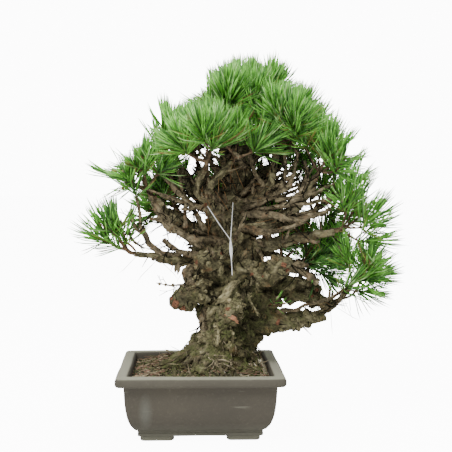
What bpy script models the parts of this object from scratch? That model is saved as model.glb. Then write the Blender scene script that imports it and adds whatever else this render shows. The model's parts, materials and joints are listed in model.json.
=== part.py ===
"""A Japanese black pine grown as a bonsai, in a rectangular stoneware pot.

Metres, +Z up. The design is worked out about the centre of the pot, with the ground at height 0, and is
moved at the end so that the origin lies under the middle of the whole plant. Pieces that touch are 0.3 mm apart.
"""

import math

import bpy
import numpy as np

MM = 0.001
CLEAR = 0.3 * MM
UP = np.array([0.0, 0.0, 1.0])

# Pot: a rectangle with rounded corners, told by its inset from the rim's outer edge at each height
POT_LENGTH = 365 * MM
POT_WIDTH = 274 * MM
POT_CORNER = 10 * MM
CORNER_LEAST = 4 * MM
CORNER_STEPS = 3
FOOT_HEIGHT = 12 * MM
FOOT_LENGTH = 74 * MM
FOOT_DEPTH = 52 * MM
FOOT_INSET = 51 * MM
FOOT_SUNK = 4 * MM
POT_FLOOR = 27 * MM
POT_OUTSIDE = [  # (inset, height) in millimetres, from the base up to the rim's top
    (46, 12), (46, 26), (40, 28), (32, 39), (26.5, 53), (22.5, 71), (20, 91),
    (18.5, 111), (17.5, 128), (3, 130), (0, 135), (0, 144), (2.5, 149), (7, 150),
]  # fmt: skip
POT_INSIDE = [(24, 150), (28, 147), (30, 131), (34, 90), (41, 50), (55, 27)]

# Soil: up the pot's inside to its edge, then a mound with a level top under the trunk
SOIL_EDGE = 136 * MM
SOIL_TOP = 158 * MM
MOUND_CENTRE = np.array([46.0, -4.0]) * MM
MOUND_RADII = np.array([90.0, 76.0]) * MM
MOUND_STEPS = 4
SOIL_SIDE_POINTS = 3

# Trunk: the centre and the radius at each height, in millimetres
TRUNK_STATIONS = [
    (50, -4, 158.3, 82), (52, -4, 177, 72), (60, -2, 205, 64), (72, 0, 238, 63), (87, 0, 295, 64),
    (82, 2, 353, 58), (66, 5, 410, 53), (54, 8, 467, 44), (64, 14, 524, 32), (88, 6, 580, 23),
    (100, -6, 640, 15), (104, 0, 700, 9),
]  # fmt: skip
TRUNK_SIDES = 16
TRUNK_RINGS = 24
TRUNK_LUMPS = 0.14
TRUNK_SEED = 5
LINE_RINGS = 20  # on the line that the limbs grow from
# Slow swell of the trunk's bark: how wide and how deep its humps are, fading out at these shares up the trunk
SWELL_SEED = 31
SWELL_SIZE = 44 * MM
SWELL_DEPTH = 6.5 * MM
SWELL_THICKNESS = 45 * MM  # radius from which the swell has its full depth
SWELL_FADE = (0.0, 0.1, 0.5, 0.62)
# Swellings fused into the trunk: where each starts and ends, and its radius there, in millimetres
BURLS = [
    ((92, -30, 377), (44, -52, 267), 22, 27),
    ((80, -45, 297), (58, -76, 267), 22, 17),
    ((36, -10, 355), (-2, -28, 336), 28, 20),
    ((34, -10, 290), (-8, -24, 266), 25, 17),
    ((24, -12, 227), (4, -24, 216), 20, 13),
    ((116, -8, 285), (170, -14, 262), 38, 24),
    ((62, 30, 287), (50, 68, 257), 32, 20),
    ((30, -16, 420), (-20, -26, 424), 28, 17),
    ((96, 20, 405), (128, 34, 423), 26, 17),
    ((36, -30, 201), (-26, -38, 165), 22, 12),
    ((60, -40, 195), (48, -72, 163), 20, 12),
    ((84, -20, 195), (124, -34, 163), 20, 11),
    ((50, 30, 195), (14, 60, 163), 22, 12),
    ((80, 30, 197), (108, 50, 163), 20, 11),
    ((20, -12, 372), (-26, -30, 360), 25, 16),
    ((130, -14, 300), (184, -26, 294), 24, 14),
]
BURL_SIDES = 7
BURL_RINGS = 4
BURL_LUMPS = 0.16
# Gnarls: smaller knobs spread up the trunk and round it, between two shares of its line, from one seed
GNARLS = 21
GNARL_SEED = 71
GNARL_SHARES = (0.1, 0.58)
GNARL_RADII = (8 * MM, 13 * MM)
GNARL_SUNK = 0.4  # share of the trunk's radius that a gnarl starts inside the bark
GNARL_PROUD = 0.9  # how far it stands out, by its own radius
GNARL_BLUNT = 1.5  # its radius near the end, by the radius at its start
GNARL_SIDES = 5
GNARL_RINGS = 3

# Limbs: name, parent, height on the trunk or share along a limb where it leaves, tip, how far its middle bows
# from the straight line, radius at foot and tip, crookedness; lengths in millimetres
LIMBS = [
    ("left_low", "trunk", 390, (-148, -30, 404), (0, -6, -6), 20, 6, 6),
    ("left_high", "trunk", 440, (-108, -20, 529), (-14, -4, -18), 32, 11, 8),
    ("left_shoulder", "trunk", 505, (-48, 24, 600), (-16, 6, -12), 17, 8, 9),
    ("left_front", "trunk", 475, (4, -78, 588), (-30, -30, -10), 17, 8, 8),
    ("crook", "trunk", 499, (62, -70, 606), (-46, -52, -22), 15, 7, 4),
    ("apex_left", "trunk", 571, (52, -22, 676), (-18, -10, -6), 14, 8, 6),
    ("apex_back", "trunk", 557, (74, 66, 662), (-4, 18, -12), 13, 8, 6),
    ("right_top", "trunk", 505, (168, -32, 636), (22, -16, -26), 18, 8, 9),
    ("right_top_back", "trunk", 545, (206, 50, 648), (4, 12, -16), 14, 8, 8),
    ("right_up", "trunk", 467, (248, -46, 568), (20, -22, -34), 20, 9, 10),
    ("right_mid", "trunk", 417, (296, -34, 457), (0, -14, -6), 22, 9, 9),
    ("right_mid_back", "trunk", 445, (246, 62, 488), (0, 10, -4), 20, 9, 8),
    ("right_out", "right_mid_back", 0.5, (288, 14, 520), (4, -6, -8), 12, 7, 5),
    ("right_low", "trunk", 258, (282, -26, 262), (0, -6, -10), 32, 16, 9),
    ("right_low_tip", "right_low", 0.8, (334, -22, 322), (8, 0, -8), 10, 6, 4),
    ("right_low_back", "trunk", 355, (240, 96, 374), (0, 14, -8), 19, 8, 7),
    ("back_low", "trunk", 365, (142, 126, 408), (-6, 16, -8), 19, 8, 8),
    ("back_mid", "trunk", 435, (88, 150, 500), (0, 14, -10), 19, 8, 8),
    ("back_left", "trunk", 417, (-46, 122, 484), (-8, 10, -10), 19, 8, 8),
    ("back_left_up", "trunk", 517, (-4, 98, 600), (-8, 14, -10), 15, 8, 8),
    ("back_right_up", "trunk", 511, (166, 132, 584), (0, 12, -12), 15, 8, 8),
    ("left_stub", "trunk", 326, (-66, -36, 292), (4, -6, 12), 40, 25, 6),
    ("left_knob", "trunk", 371, (-4, -74, 392), (0, -6, 4), 28, 24, 3),
    ("middle_stub", "trunk", 366, (196, -78, 396), (-8, -24, -14), 29, 20, 7),
    ("right_stub", "trunk", 340, (276, 16, 312), (6, 0, 12), 34, 19, 9),
    ("right_fork", "right_stub", 0.5, (300, -22, 296), (4, -10, -16), 18, 9, 6),
]
LIMB_SIDES = 7
LIMB_RINGS = 9
LIMB_LUMPS = 0.16
LIMB_TAPER = 1.25
STUBS = ["left_stub", "left_knob", "middle_stub", "right_stub", "right_fork", "right_low"]  # rounded, no needles

# Masses of needles: name of the limb that carries it, number of shoots, how far they spread from the limb's tip
# in millimetres, how wide the spread opens in degrees, how strongly they turn up
MASSES = [
    ("left_low", 4, 56, 36, 1.7),
    ("left_high", 6, 60, 66, 0.8),
    ("left_shoulder", 6, 62, 70, 0.9),
    ("left_front", 5, 56, 76, 1.0),
    ("crook", 4, 52, 70, 1.0),
    ("apex_left", 5, 52, 70, 1.0),
    ("trunk", 6, 52, 74, 1.0),
    ("apex_back", 5, 52, 74, 0.8),
    ("right_top", 6, 56, 74, 1.0),
    ("right_top_back", 6, 58, 74, 0.8),
    ("right_up", 6, 60, 72, 0.7),
    ("right_mid", 6, 60, 70, 0.5),
    ("right_mid_back", 5, 56, 74, 0.4),
    ("right_out", 5, 56, 66, 0.4),
    ("right_low_tip", 4, 52, 60, 0.8),
    ("right_low_back", 6, 62, 80, 0.5),
    ("back_low", 6, 60, 78, 0.4),
    ("back_mid", 6, 60, 76, 0.5),
    ("back_left", 6, 62, 76, 0.6),
    ("back_left_up", 5, 58, 76, 0.8),
    ("back_right_up", 5, 58, 74, 0.7),
]
CROWN_CENTRE = np.array([80.0, 20.0, 445.0]) * MM
STEM_SHARE = 0.45
STEM_POINTS = 3
STEM_SIDES = 5
TWIG_RADII = (3.2 * MM, 2.6 * MM)
TUFT_CORE = 6.5 * MM
TUFT_ANGLES = (30, 74)  # degrees from the shoot's own line, inner ring of needles and outer ring
TUFT_NEEDLES = 4  # in each ring
NEEDLE_LENGTH = 96 * MM
NEEDLE_RADIUS = 1.5 * MM
NEEDLE_SHARES = (1.0, 0.85, 0.7, 0.55, 0.4, 0.25, 0.12)  # tried in turn until the needle has room
GOLDEN_ANGLE = math.pi * (3 - math.sqrt(5))
ROOM_TO_LIMB = 2.0 * MM
ROOM_TO_MASS = 0.6 * MM

BARK_COLOUR = (0.16, 0.125, 0.085)
NEEDLE_COLOUR = (0.09, 0.24, 0.05)
POT_COLOUR = (0.20, 0.185, 0.16)
SOIL_COLOUR = (0.07, 0.06, 0.035)


def unit(vector):
    """The vector at length 1."""
    return vector / np.linalg.norm(vector)


def clear_scene():
    """Removes what the scene holds at the start."""
    for obj in list(bpy.data.objects):
        bpy.data.objects.remove(obj)


def material(name, colour, roughness):
    """A plain Principled material."""
    made = bpy.data.materials.new(name)
    made.use_nodes = True
    shader = made.node_tree.nodes["Principled BSDF"]
    shader.inputs["Base Color"].default_value = (*colour, 1)
    shader.inputs["Roughness"].default_value = roughness
    shader.inputs["Metallic"].default_value = 0
    return made


def new_object(name, points, faces, finish=None):
    """One mesh object from arrays of points and faces."""
    mesh = bpy.data.meshes.new(name)
    mesh.from_pydata([tuple(p) for p in points], [], [tuple(f) for f in faces])
    mesh.validate()
    mesh.update()
    obj = bpy.data.objects.new(name, mesh)
    bpy.context.scene.collection.objects.link(obj)
    if finish:
        mesh.materials.append(finish)
    return obj


def skin(loops):
    """Faces of a closed skin over a stack of loops of equal count, with a flat cap at each end.

    The sides are split into triangles by one rule, so that a grown copy has its edges in the same places.
    """
    count = len(loops[0])
    faces = [tuple(reversed(range(count)))]
    for row in range(len(loops) - 1):
        low, high = row * count, (row + 1) * count
        for i in range(count):
            j = (i + 1) % count
            faces += [(low + i, low + j, high + j), (low + i, high + j, high + i)]
    faces.append(tuple((len(loops) - 1) * count + i for i in range(count)))
    return faces


def apply_modifiers(obj):
    """Puts the evaluated mesh in place of the object's own."""
    graph = bpy.context.evaluated_depsgraph_get()
    made = bpy.data.meshes.new_from_object(obj.evaluated_get(graph))
    obj.modifiers.clear()
    obj.data = made


def boolean(obj, others, operation):
    """Joins or cuts obj by the other objects, held in one collection, applies it and removes them."""
    group = bpy.data.collections.new("operands")
    bpy.context.scene.collection.children.link(group)
    for other in others:
        bpy.context.scene.collection.objects.unlink(other)
        group.objects.link(other)
    modifier = obj.modifiers.new("join", "BOOLEAN")
    modifier.operation = operation
    modifier.operand_type = "COLLECTION"
    modifier.collection = group
    apply_modifiers(obj)
    for other in others:
        bpy.data.objects.remove(other)
    bpy.data.collections.remove(group)


def keep_largest(obj):
    """Drops any loose scrap that a cut has left beside the main body."""
    mesh = obj.data
    label = np.arange(len(mesh.vertices))
    ends = np.array([edge.vertices[:] for edge in mesh.edges])
    while True:
        least = np.minimum(label[ends[:, 0]], label[ends[:, 1]])
        before = label.copy()
        np.minimum.at(label, ends[:, 0], least)
        np.minimum.at(label, ends[:, 1], least)
        if (label == before).all():
            break
    keys, sizes = np.unique(label, return_counts=True)
    if len(keys) == 1:
        return
    main = keys[sizes.argmax()]
    new_index = np.cumsum(label == main) - 1
    points = [v.co[:] for v in mesh.vertices if label[v.index] == main]
    faces = [[new_index[i] for i in p.vertices] for p in mesh.polygons if label[p.vertices[0]] == main]
    finish = mesh.materials[0] if mesh.materials else None
    mesh.clear_geometry()
    mesh.from_pydata(points, [], faces)
    mesh.update()
    if finish and not mesh.materials:
        mesh.materials.append(finish)


def curve_through(stations, count):
    """Points on a smooth curve (Catmull-Rom) through rows of numbers, count of them at equal steps."""
    rows = np.array(stations, float)
    ends = np.vstack([2 * rows[0] - rows[1], rows, 2 * rows[-1] - rows[-2]])
    place = np.linspace(0, len(rows) - 1, count)
    base = np.minimum(place.astype(int), len(rows) - 2)
    t = (place - base)[:, None]
    a, b, c, d = ends[base], ends[base + 1], ends[base + 2], ends[base + 3]
    return 0.5 * (2 * b + (c - a) * t + (2 * a - 5 * b + 4 * c - d) * t**2 + (3 * b - a - 3 * c + d) * t**3)


def directions(path):
    """The unit direction of the path at each of its points."""
    return np.array([unit(d) for d in np.gradient(path, axis=0)])


def side_frames(along):
    """Two unit vectors across the path at each point, carried along it with no twist."""
    first = np.cross(along[0], [0.0, 1.0, 0.0])
    if np.linalg.norm(first) < 0.3:
        first = np.cross(along[0], [1.0, 0.0, 0.0])
    across = [unit(first)]
    for direction in along[1:]:
        across.append(unit(across[-1] - direction * (across[-1] @ direction)))
    across = np.array(across)
    return across, np.cross(along, across)


def lumps(share, angle, seed, depth):
    """Swelling of a limb's radius: a few waves round it and along it, from a seed."""
    rng = np.random.default_rng(seed)
    total = np.zeros(np.broadcast(share, angle).shape)
    for waves_round, waves_along in ((2, 2), (3, 5), (1, 8), (4, 3)):
        shift, start = rng.uniform(0, 2 * math.pi, 2)
        total = total + np.cos(waves_round * angle + shift) * np.cos(waves_along * math.pi * share + start)
    return 1 + depth * total / 2


def hashed(cell, salt):
    """A number from 0 to 1 for each whole-number cell: its three indices mixed by large odd multipliers."""
    cell = cell.astype(np.int64)
    mixed = cell[..., 0] * 374761393 + cell[..., 1] * 668265263 + cell[..., 2] * 1103515245 + salt * 974634777
    mixed = mixed & 0xFFFFFFFF
    mixed = ((mixed ^ (mixed >> 13)) * 1274126177) & 0xFFFFFFFF
    return ((mixed ^ (mixed >> 16)) & 0xFFFFFF) / 0xFFFFFF


def soft_noise(points, size, salt):
    """Smooth noise from -1 to 1: random numbers at the corners of cubes of a size, blended by smooth steps."""
    spot = points / size
    base = np.floor(spot)
    t = spot - base
    t = t * t * (3 - 2 * t)
    total = np.zeros(points.shape[:-1])
    for corner in np.ndindex(2, 2, 2):
        weight = np.prod(np.where(np.array(corner) == 1, t, 1 - t), axis=-1)
        total += hashed(base + np.array(corner), salt) * weight
    return total * 2 - 1


def tube_loops(path, radii, sides, seed, depth, grow=0.0, along=None, swell=0.0):
    """Loops round a path: each a ring of points at the radius there, swollen by its lumps and grown by a margin.

    A swell adds slow humps, which are less deep where the tube is thin.
    """
    along = directions(path) if along is None else along
    across, upward = side_frames(along)
    angle = np.arange(sides) * 2 * math.pi / sides
    share = np.linspace(0, 1, len(path))
    radius = radii[:, None] * lumps(share[:, None], angle[None, :], seed, depth)
    ring = np.cos(angle)[None, :, None] * across[:, None] + np.sin(angle)[None, :, None] * upward[:, None]
    humps = soft_noise(path[:, None] + ring * radius[:, :, None], SWELL_SIZE, SWELL_SEED)
    radius = radius + swell * humps * np.minimum(radius / SWELL_THICKNESS, 1)
    return path[:, None] + ring * (radius + grow)[:, :, None]


def tube(name, loops, finish=None):
    """A closed tube from its loops."""
    return new_object(name, loops.reshape(-1, 3), skin(loops), finish)


def rounded_rectangle(inset, height, side_points=0):
    """One loop of the pot: its rim's rectangle taken in by the inset, with a quarter circle at each corner.

    A loop may also have points along its straight sides, so that it can be drawn into a round one.
    """
    half = np.array([POT_LENGTH, POT_WIDTH]) / 2 - inset
    radius = max(CORNER_LEAST, POT_CORNER - inset * 0.4)
    corners = []
    for quarter in range(4):
        sign = np.array([(1, 1), (-1, 1), (-1, -1), (1, -1)][quarter])
        turn = (quarter + np.linspace(0, 1, CORNER_STEPS + 1)[:, None]) * math.pi / 2
        corners.append(sign * (half - radius) + radius * np.hstack([np.cos(turn), np.sin(turn)]))
    loop = []
    for corner, after in zip(corners, corners[1:] + corners[:1]):
        loop += list(corner)
        shares = np.linspace(0, 1, side_points + 2)[1:-1]
        loop += [corner[-1] + (after[0] - corner[-1]) * share for share in shares]
    return np.array([(*point, height) for point in loop])


def make_pot(finish):
    """The pot: a hollow rectangle with a turned-out rim, on four low feet."""
    profile = POT_OUTSIDE + POT_INSIDE
    loops = [rounded_rectangle(inset * MM, height * MM) for inset, height in profile]
    pot = new_object("pot", np.vstack(loops), skin(loops), finish)
    feet = []
    for side_x in (-1, 1):
        for side_y in (-1, 1):
            outer = np.array([POT_LENGTH, POT_WIDTH]) / 2 - FOOT_INSET
            inner = outer - (FOOT_LENGTH, FOOT_DEPTH)
            plan = [(inner[0], inner[1]), (outer[0], inner[1]), (outer[0], outer[1]), (inner[0], outer[1])]
            plan = [(x * side_x, y * side_y) for x, y in plan]
            if side_x * side_y < 0:
                plan.reverse()
            levels = [[(x, y, z) for x, y in plan] for z in (0.0, FOOT_HEIGHT + FOOT_SUNK)]
            feet.append(new_object("foot", np.vstack(levels), skin(levels)))
    boolean(pot, feet, "UNION")
    return pot


def make_soil(finish):
    """The soil: fills the pot to its edge line and rises to the level top of a mound."""
    wall = [row for row in reversed(POT_INSIDE) if row[1] * MM < SOIL_EDGE]
    loops = [rounded_rectangle(inset * MM + CLEAR, height * MM, SOIL_SIDE_POINTS) for inset, height in wall]
    loops[0][:, 2] = POT_FLOOR + CLEAR
    edge = rounded_rectangle(30 * MM + CLEAR, SOIL_EDGE, SOIL_SIDE_POINTS)
    loops.append(edge)
    angle = np.arctan2(edge[:, 1] - MOUND_CENTRE[1], edge[:, 0] - MOUND_CENTRE[0])
    top = MOUND_CENTRE + MOUND_RADII * np.stack([np.cos(angle), np.sin(angle)], axis=1)
    for step in range(1, MOUND_STEPS + 1):
        share = step / MOUND_STEPS
        rise = share * share * (3 - 2 * share)
        plan = edge[:, :2] + (top - edge[:, :2]) * share
        height = np.full(len(plan), SOIL_EDGE + (SOIL_TOP - SOIL_EDGE) * rise)
        loops.append(np.column_stack([plan, height]))
    return new_object("soil", np.vstack(loops), skin(loops), finish)


def trunk_line(count):
    """The trunk's centre line and its radii, from the level cut at the soil to its tip."""
    rows = curve_through(TRUNK_STATIONS, count) * MM
    path, radii = rows[:, :3], rows[:, 3]
    along = directions(path)
    along[0] = UP
    return path, radii, along


def gnarl_rows():
    """Where each gnarl starts and ends, and its radii: up the trunk by even steps, and round by the golden angle."""
    path, radii, along = trunk_line(LINE_RINGS)
    across, upward = side_frames(along)
    rng = np.random.default_rng(GNARL_SEED)
    rows = []
    for number in range(GNARLS):
        share = np.interp((number + rng.uniform(0, 1)) / GNARLS, [0, 1], GNARL_SHARES)
        place = share * (LINE_RINGS - 1)
        ring = int(place)
        turn = number * GOLDEN_ANGLE + rng.uniform(-0.4, 0.4)
        side = math.cos(turn) * across[ring] + math.sin(turn) * upward[ring]
        radius = rng.uniform(*GNARL_RADII)
        foot = path[ring] + (path[ring + 1] - path[ring]) * (place - ring) + side * radii[ring] * (1 - GNARL_SUNK)
        length = radii[ring] * GNARL_SUNK + radius * GNARL_PROUD
        rows.append((foot, foot + side * length, radius, radius * GNARL_BLUNT))
    return rows


def burl_loops(row, number, rings, sides, grow=0.0):
    """Loops of one burl or gnarl: a straight tapering tube that rounds off at its end."""
    start, end, first, last = row
    share = np.linspace(0, 1, rings)
    line = start + (end - start) * share[:, None]
    radius = (first + (last - first) * share) * np.sqrt(1.12 - share**4)
    loops = tube_loops(line, radius, sides, 50 + number, BURL_LUMPS, grow)
    loops[-1] += unit(end - start) * grow
    return loops


def make_trunk(finish, grow=0.0):
    """The trunk with its burls and root flare, cut level at the soil. A grown copy serves as a cutter."""
    path, radii, along = trunk_line(TRUNK_RINGS)
    share = np.linspace(0, 1, TRUNK_RINGS)[:, None]
    swell = SWELL_DEPTH * np.interp(share, SWELL_FADE, (0, 1, 1, 0))
    trunk = tube("trunk", tube_loops(path, radii, TRUNK_SIDES, TRUNK_SEED, TRUNK_LUMPS, grow, along, swell), finish)
    burls = []
    for number, (start, end, first, last) in enumerate(BURLS):
        row = np.array(start) * MM, np.array(end) * MM, first * MM, last * MM
        burls.append(tube("burl", burl_loops(row, number, BURL_RINGS, BURL_SIDES, grow)))
    for number, row in enumerate(gnarl_rows(), len(BURLS)):
        burls.append(tube("gnarl", burl_loops(row, number, GNARL_RINGS, GNARL_SIDES, grow)))
    boolean(trunk, burls, "UNION")
    level = TRUNK_STATIONS[0][2] * MM
    below = [[(x, y, z) for x, y in ((-1, -1), (1, -1), (1, 1), (-1, 1))] for z in (-1.0, level - grow)]
    boolean(trunk, [new_object("below", np.vstack(below), skin(below))], "DIFFERENCE")
    keep_largest(trunk)
    return trunk


def point_at_height(path, height):
    """The point of the trunk's line at a height."""
    return np.array([np.interp(height, path[:, 2], path[:, axis]) for axis in range(3)])


def limb_line(seed, foot, tip, bow, radii, crook, rounded):
    """A limb's line and radii: a bowed curve from foot to tip, with a seeded wander that fades at both ends."""
    rng = np.random.default_rng(100 + seed)
    share = np.linspace(0, 1, LIMB_RINGS)[:, None]
    middle = (foot + tip) / 2 + 2 * bow
    line = (1 - share) ** 2 * foot + 2 * share * (1 - share) * middle + share**2 * tip
    for waves in (2, 3, 5):
        turn = rng.normal(size=3)
        wave = np.sin(waves * math.pi * share + rng.uniform(0, 6))
        line = line + np.sin(math.pi * share) * wave * turn * crook / waves
    thickness = radii[1] + (radii[0] - radii[1]) * (1 - share[:, 0]) ** LIMB_TAPER
    if rounded:
        thickness = thickness * np.sqrt(1.05 - 0.75 * share[:, 0] ** 6)
    return line, thickness


def all_limbs():
    """The line and radii of the trunk and of every limb, by name."""
    path, radii, _ = trunk_line(LINE_RINGS)
    lines = {"trunk": (path, radii)}
    for seed, (name, parent, place, tip, bow, first, last, crook) in enumerate(LIMBS):
        line = lines[parent][0]
        if parent == "trunk":
            foot = point_at_height(line, place * MM)
        else:
            foot = line[round(place * (len(line) - 1))]
        radii = (first * MM, last * MM)
        tip, bow = np.array(tip) * MM, np.array(bow) * MM
        lines[name] = limb_line(seed, foot, tip, bow, radii, crook * MM, name in STUBS)
    return lines


def limb_solid(name, index, lines, grow=0.0):
    """The closed tube of one limb. A grown copy serves as a cutter, a little longer at its blunt end too."""
    line, radii = lines[LIMBS[index][0]]
    loops = tube_loops(line, radii, LIMB_SIDES, 200 + index, LIMB_LUMPS, grow)
    loops[-1] += unit(line[-1] - line[-2]) * grow
    return tube(name, loops)


def limbs_meet(first, second):
    """Whether two limbs come so near each other that one has to be cut clear of the other."""
    (line_a, radii_a), (line_b, radii_b) = first, second
    far = np.linalg.norm(line_a[:, None] - line_b[None], axis=2)
    return bool((far < (radii_a[:, None] + radii_b[None]) * (1 + 2 * LIMB_LUMPS)).any())


def make_limb(index, lines, finish):
    """One limb, cut clear of the trunk, of the limb that it grows from and of those before it that it touches."""
    name = LIMBS[index][0]
    limb = limb_solid(f"bough_{name}", index, lines)
    limb.data.materials.append(finish)
    grow = CLEAR * 1.2
    cutters = [make_trunk(None, grow)]
    for before in range(index):
        if limbs_meet(lines[name], lines[LIMBS[before][0]]):
            cutters.append(limb_solid("cutter", before, lines, grow))
    boolean(limb, cutters, "DIFFERENCE")
    keep_largest(limb)
    return limb


def mass_lean(mass, lines):
    """The direction that a mass opens round: its limb's own, turned outward and up."""
    name, _, _, _, lift = mass
    line = lines[name][0]
    start = unit(line[-1] - line[-2])
    outward = unit(line[-1] - CROWN_CENTRE)
    return start, unit(start * 0.7 + outward * 0.5 + UP * lift)


def mass_centre(mass, lines):
    """The point that a mass's own space is drawn round: just beyond the tip of its limb."""
    _, lean = mass_lean(mass, lines)
    return lines[mass[0]][0][-1] + lean * mass[2] * MM * 0.9


def grow_mass(seed, mass, lines):
    """The rule by which a mass grows: a stem from the limb's tip, and twigs that open round its line.

    Gives the stem's points, and for each twig its points and the direction of the shoot at its end.
    """
    name, shoots, spread, opening, lift = mass
    rng = np.random.default_rng(1000 + seed)
    start, lean = mass_lean(mass, lines)
    reach = spread * MM
    foot = lines[name][0][-1] + start * CLEAR
    share = np.linspace(0, 1, STEM_POINTS)[:, None]
    bend = foot + start * reach * STEM_SHARE * 0.5
    end = bend + lean * reach * STEM_SHARE * 0.5
    stem = (1 - share) ** 2 * foot + 2 * share * (1 - share) * bend + share**2 * end
    across, upward = side_frames(np.array([lean]))
    twigs = []
    turn = rng.uniform(0, 2 * math.pi)
    for i in range(shoots):
        rank = i / (shoots - 1)
        polar = math.radians(opening) * math.sqrt(rank) * rng.uniform(0.85, 1.1)
        turn += GOLDEN_ANGLE + rng.uniform(-0.25, 0.25)
        side = math.cos(turn) * across[0] + math.sin(turn) * upward[0]
        heading = unit(math.cos(polar) * lean + math.sin(polar) * side)
        base = stem[-1] + (stem[1] - stem[-1]) * rank * rng.uniform(0.3, 0.8)
        length = reach * rng.uniform(0.8, 1.0) * (0.75 + 0.25 * rank)
        shoot = unit(heading + UP * (0.2 + 0.5 * lift))
        middle = base + heading * length * 0.5
        tip = middle + unit(heading + shoot) * length * 0.5
        twigs.append((np.array([base, middle, tip]), shoot))
    return stem, twigs


def inside_space(points, own, centres, margin):
    """Whether every point is nearer to its own centre than to any other centre, by the margin."""
    gap = np.array([c for c in centres if c is not own]) - own
    others = own + gap
    width = np.linalg.norm(gap, axis=1)
    middle = (others + own) / 2
    depth = ((middle[None] - points[:, None]) * gap[None]).sum(2) / width
    return bool((depth >= margin).all())


def clear_of_limbs(start, end, radius, lines):
    """Whether a straight twig or needle stays clear of every limb, taken as a chain of rounded rods."""
    steps = np.linspace(0, 1, 14)[:, None]
    points = start + (end - start) * steps
    for line, radii in lines.values():
        a, b = line[:-1], line[1:]
        run = b - a
        share = ((points[:, None] - a[None]) * run[None]).sum(2) / (run * run).sum(1)
        share = np.clip(share, 0, 1)
        near = a[None] + run[None] * share[:, :, None]
        far = np.linalg.norm(points[:, None] - near, axis=2)
        thick = np.maximum(radii[:-1], radii[1:])[None] * (1 + LIMB_LUMPS)
        if (far < thick + radius + ROOM_TO_LIMB).any():
            return False
    return True


def needle_end(core, direction, length, own, centres, cores, lines):
    """The end of a needle: as far out as its length and the room that it has let it reach.

    It stays in its mass's space, nearer to its own tuft's core than to the next, and off the limbs.
    """
    for share in NEEDLE_SHARES:
        end = core + direction * length * share
        start = core + direction * TUFT_CORE
        if not inside_space(end[None], own, centres, NEEDLE_RADIUS + ROOM_TO_MASS):
            continue
        if not inside_space(end[None], core, cores, ROOM_TO_MASS):
            continue
        if clear_of_limbs(start, end, NEEDLE_RADIUS, lines):
            return end
    return core + direction * TUFT_CORE


def tuft(core, heading, seed, own, centres, cores, lines):
    """A shoot's needles as one solid: a core whose two rings have a needle at every second point.

    The rings are offset, so each needle stands among low points only and all its faces are narrow.
    """
    rng = np.random.default_rng(seed)
    across, upward = side_frames(np.array([heading]))
    start = rng.uniform(0, 2 * math.pi)
    count = 2 * TUFT_NEEDLES
    points = [core + heading * TUFT_CORE]
    for ring, angle in enumerate(TUFT_ANGLES):
        for i in range(count):
            turn = start + math.pi * (i + rng.uniform(-0.2, 0.2)) / TUFT_NEEDLES
            polar = math.radians(angle) + rng.uniform(-0.12, 0.12)
            side = math.cos(turn) * across[0] + math.sin(turn) * upward[0]
            direction = math.cos(polar) * heading + math.sin(polar) * side
            length = NEEDLE_LENGTH * rng.uniform(0.86, 1.0)
            if (i + ring) % 2 == 0:
                points.append(needle_end(core, direction, length, own, centres, cores, lines))
            else:
                points.append(core + direction * TUFT_CORE)
    points.append(core - heading * TUFT_CORE)
    last = 2 * count + 1
    faces = []
    for i in range(count):
        j = (i + 1) % count
        a, b, c, d = 1 + i, 1 + j, 1 + count + j, 1 + count + i
        faces += [(0, a, b), (last, c, d)]
        faces += [(a, d, b), (b, d, c)] if i % 2 == 0 else [(a, d, c), (a, c, b)]
    return new_object("tuft", points, faces)


def make_mass(index, lines, centres, finish):
    """One mass of needles: stem, twigs and tufts of needles, fused, all inside the mass's own space."""
    mass = MASSES[index]
    stem, twigs = grow_mass(index, mass, lines)
    own = centres[index]
    tip_radius = lines[mass[0]][1][-1]
    along = directions(stem)
    along[0] = mass_lean(mass, lines)[0]
    stem_radii = np.linspace(tip_radius * 0.85, TWIG_RADII[0] * 1.3, STEM_POINTS)
    name = "apex" if mass[0] == "trunk" else mass[0]
    body = tube(f"needles_{name}", tube_loops(stem, stem_radii, STEM_SIDES, 0, 0.0, along=along))
    kept = []
    for number, (points, heading) in enumerate(twigs):
        if not inside_space(points[1:], own, centres, TUFT_CORE + ROOM_TO_MASS):
            continue
        if all(clear_of_limbs(a, b, TUFT_CORE, lines) for a, b in zip(points[1:-1], points[2:])):
            kept.append((number, points, heading))
    cores = [points[-1] for _, points, _ in kept]
    fused = []
    for (number, points, heading), core in zip(kept, cores):
        twig_radii = np.linspace(TWIG_RADII[0], TWIG_RADII[1], len(points))
        fused.append(tube("twig", tube_loops(points, twig_radii, 3, 0, 0.0)))
        fused.append(tuft(core, heading, 5000 + index * 100 + number, own, centres, cores, lines))
    boolean(body, fused, "UNION")
    keep_largest(body)
    body.data.materials.clear()
    body.data.materials.append(finish)
    return body


def move_to_origin():
    """Moves the whole plant so that its box stands on the ground with the origin under its middle."""
    bpy.context.view_layer.update()
    shown = [obj for obj in bpy.data.objects if obj.type == "MESH"]
    corners = np.array([obj.matrix_world @ v.co for obj in shown for v in obj.data.vertices])
    low, high = corners.min(0), corners.max(0)
    for obj in shown:
        obj.location = (-(low[0] + high[0]) / 2, -(low[1] + high[1]) / 2, -low[2])


def main():
    clear_scene()
    bark = material("bark", BARK_COLOUR, 0.95)
    green = material("needles", NEEDLE_COLOUR, 0.55)
    make_pot(material("stoneware", POT_COLOUR, 0.75))
    make_soil(material("soil", SOIL_COLOUR, 1.0))
    make_trunk(bark)
    lines = all_limbs()
    for index in range(len(LIMBS)):
        make_limb(index, lines, bark)
    centres = [mass_centre(mass, lines) for mass in MASSES]
    for index in range(len(MASSES)):
        make_mass(index, lines, centres, green)
    move_to_origin()


main()
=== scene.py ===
"""The finished looks of a black pine grown as a bonsai, in a rectangular stoneware pot.

Metres, +Z up. Shapes are worked out about the centre of the pot, with the ground at height 0, by the same
rules and seeds as the solids, and are moved by HOME when they become meshes.
"""

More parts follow.
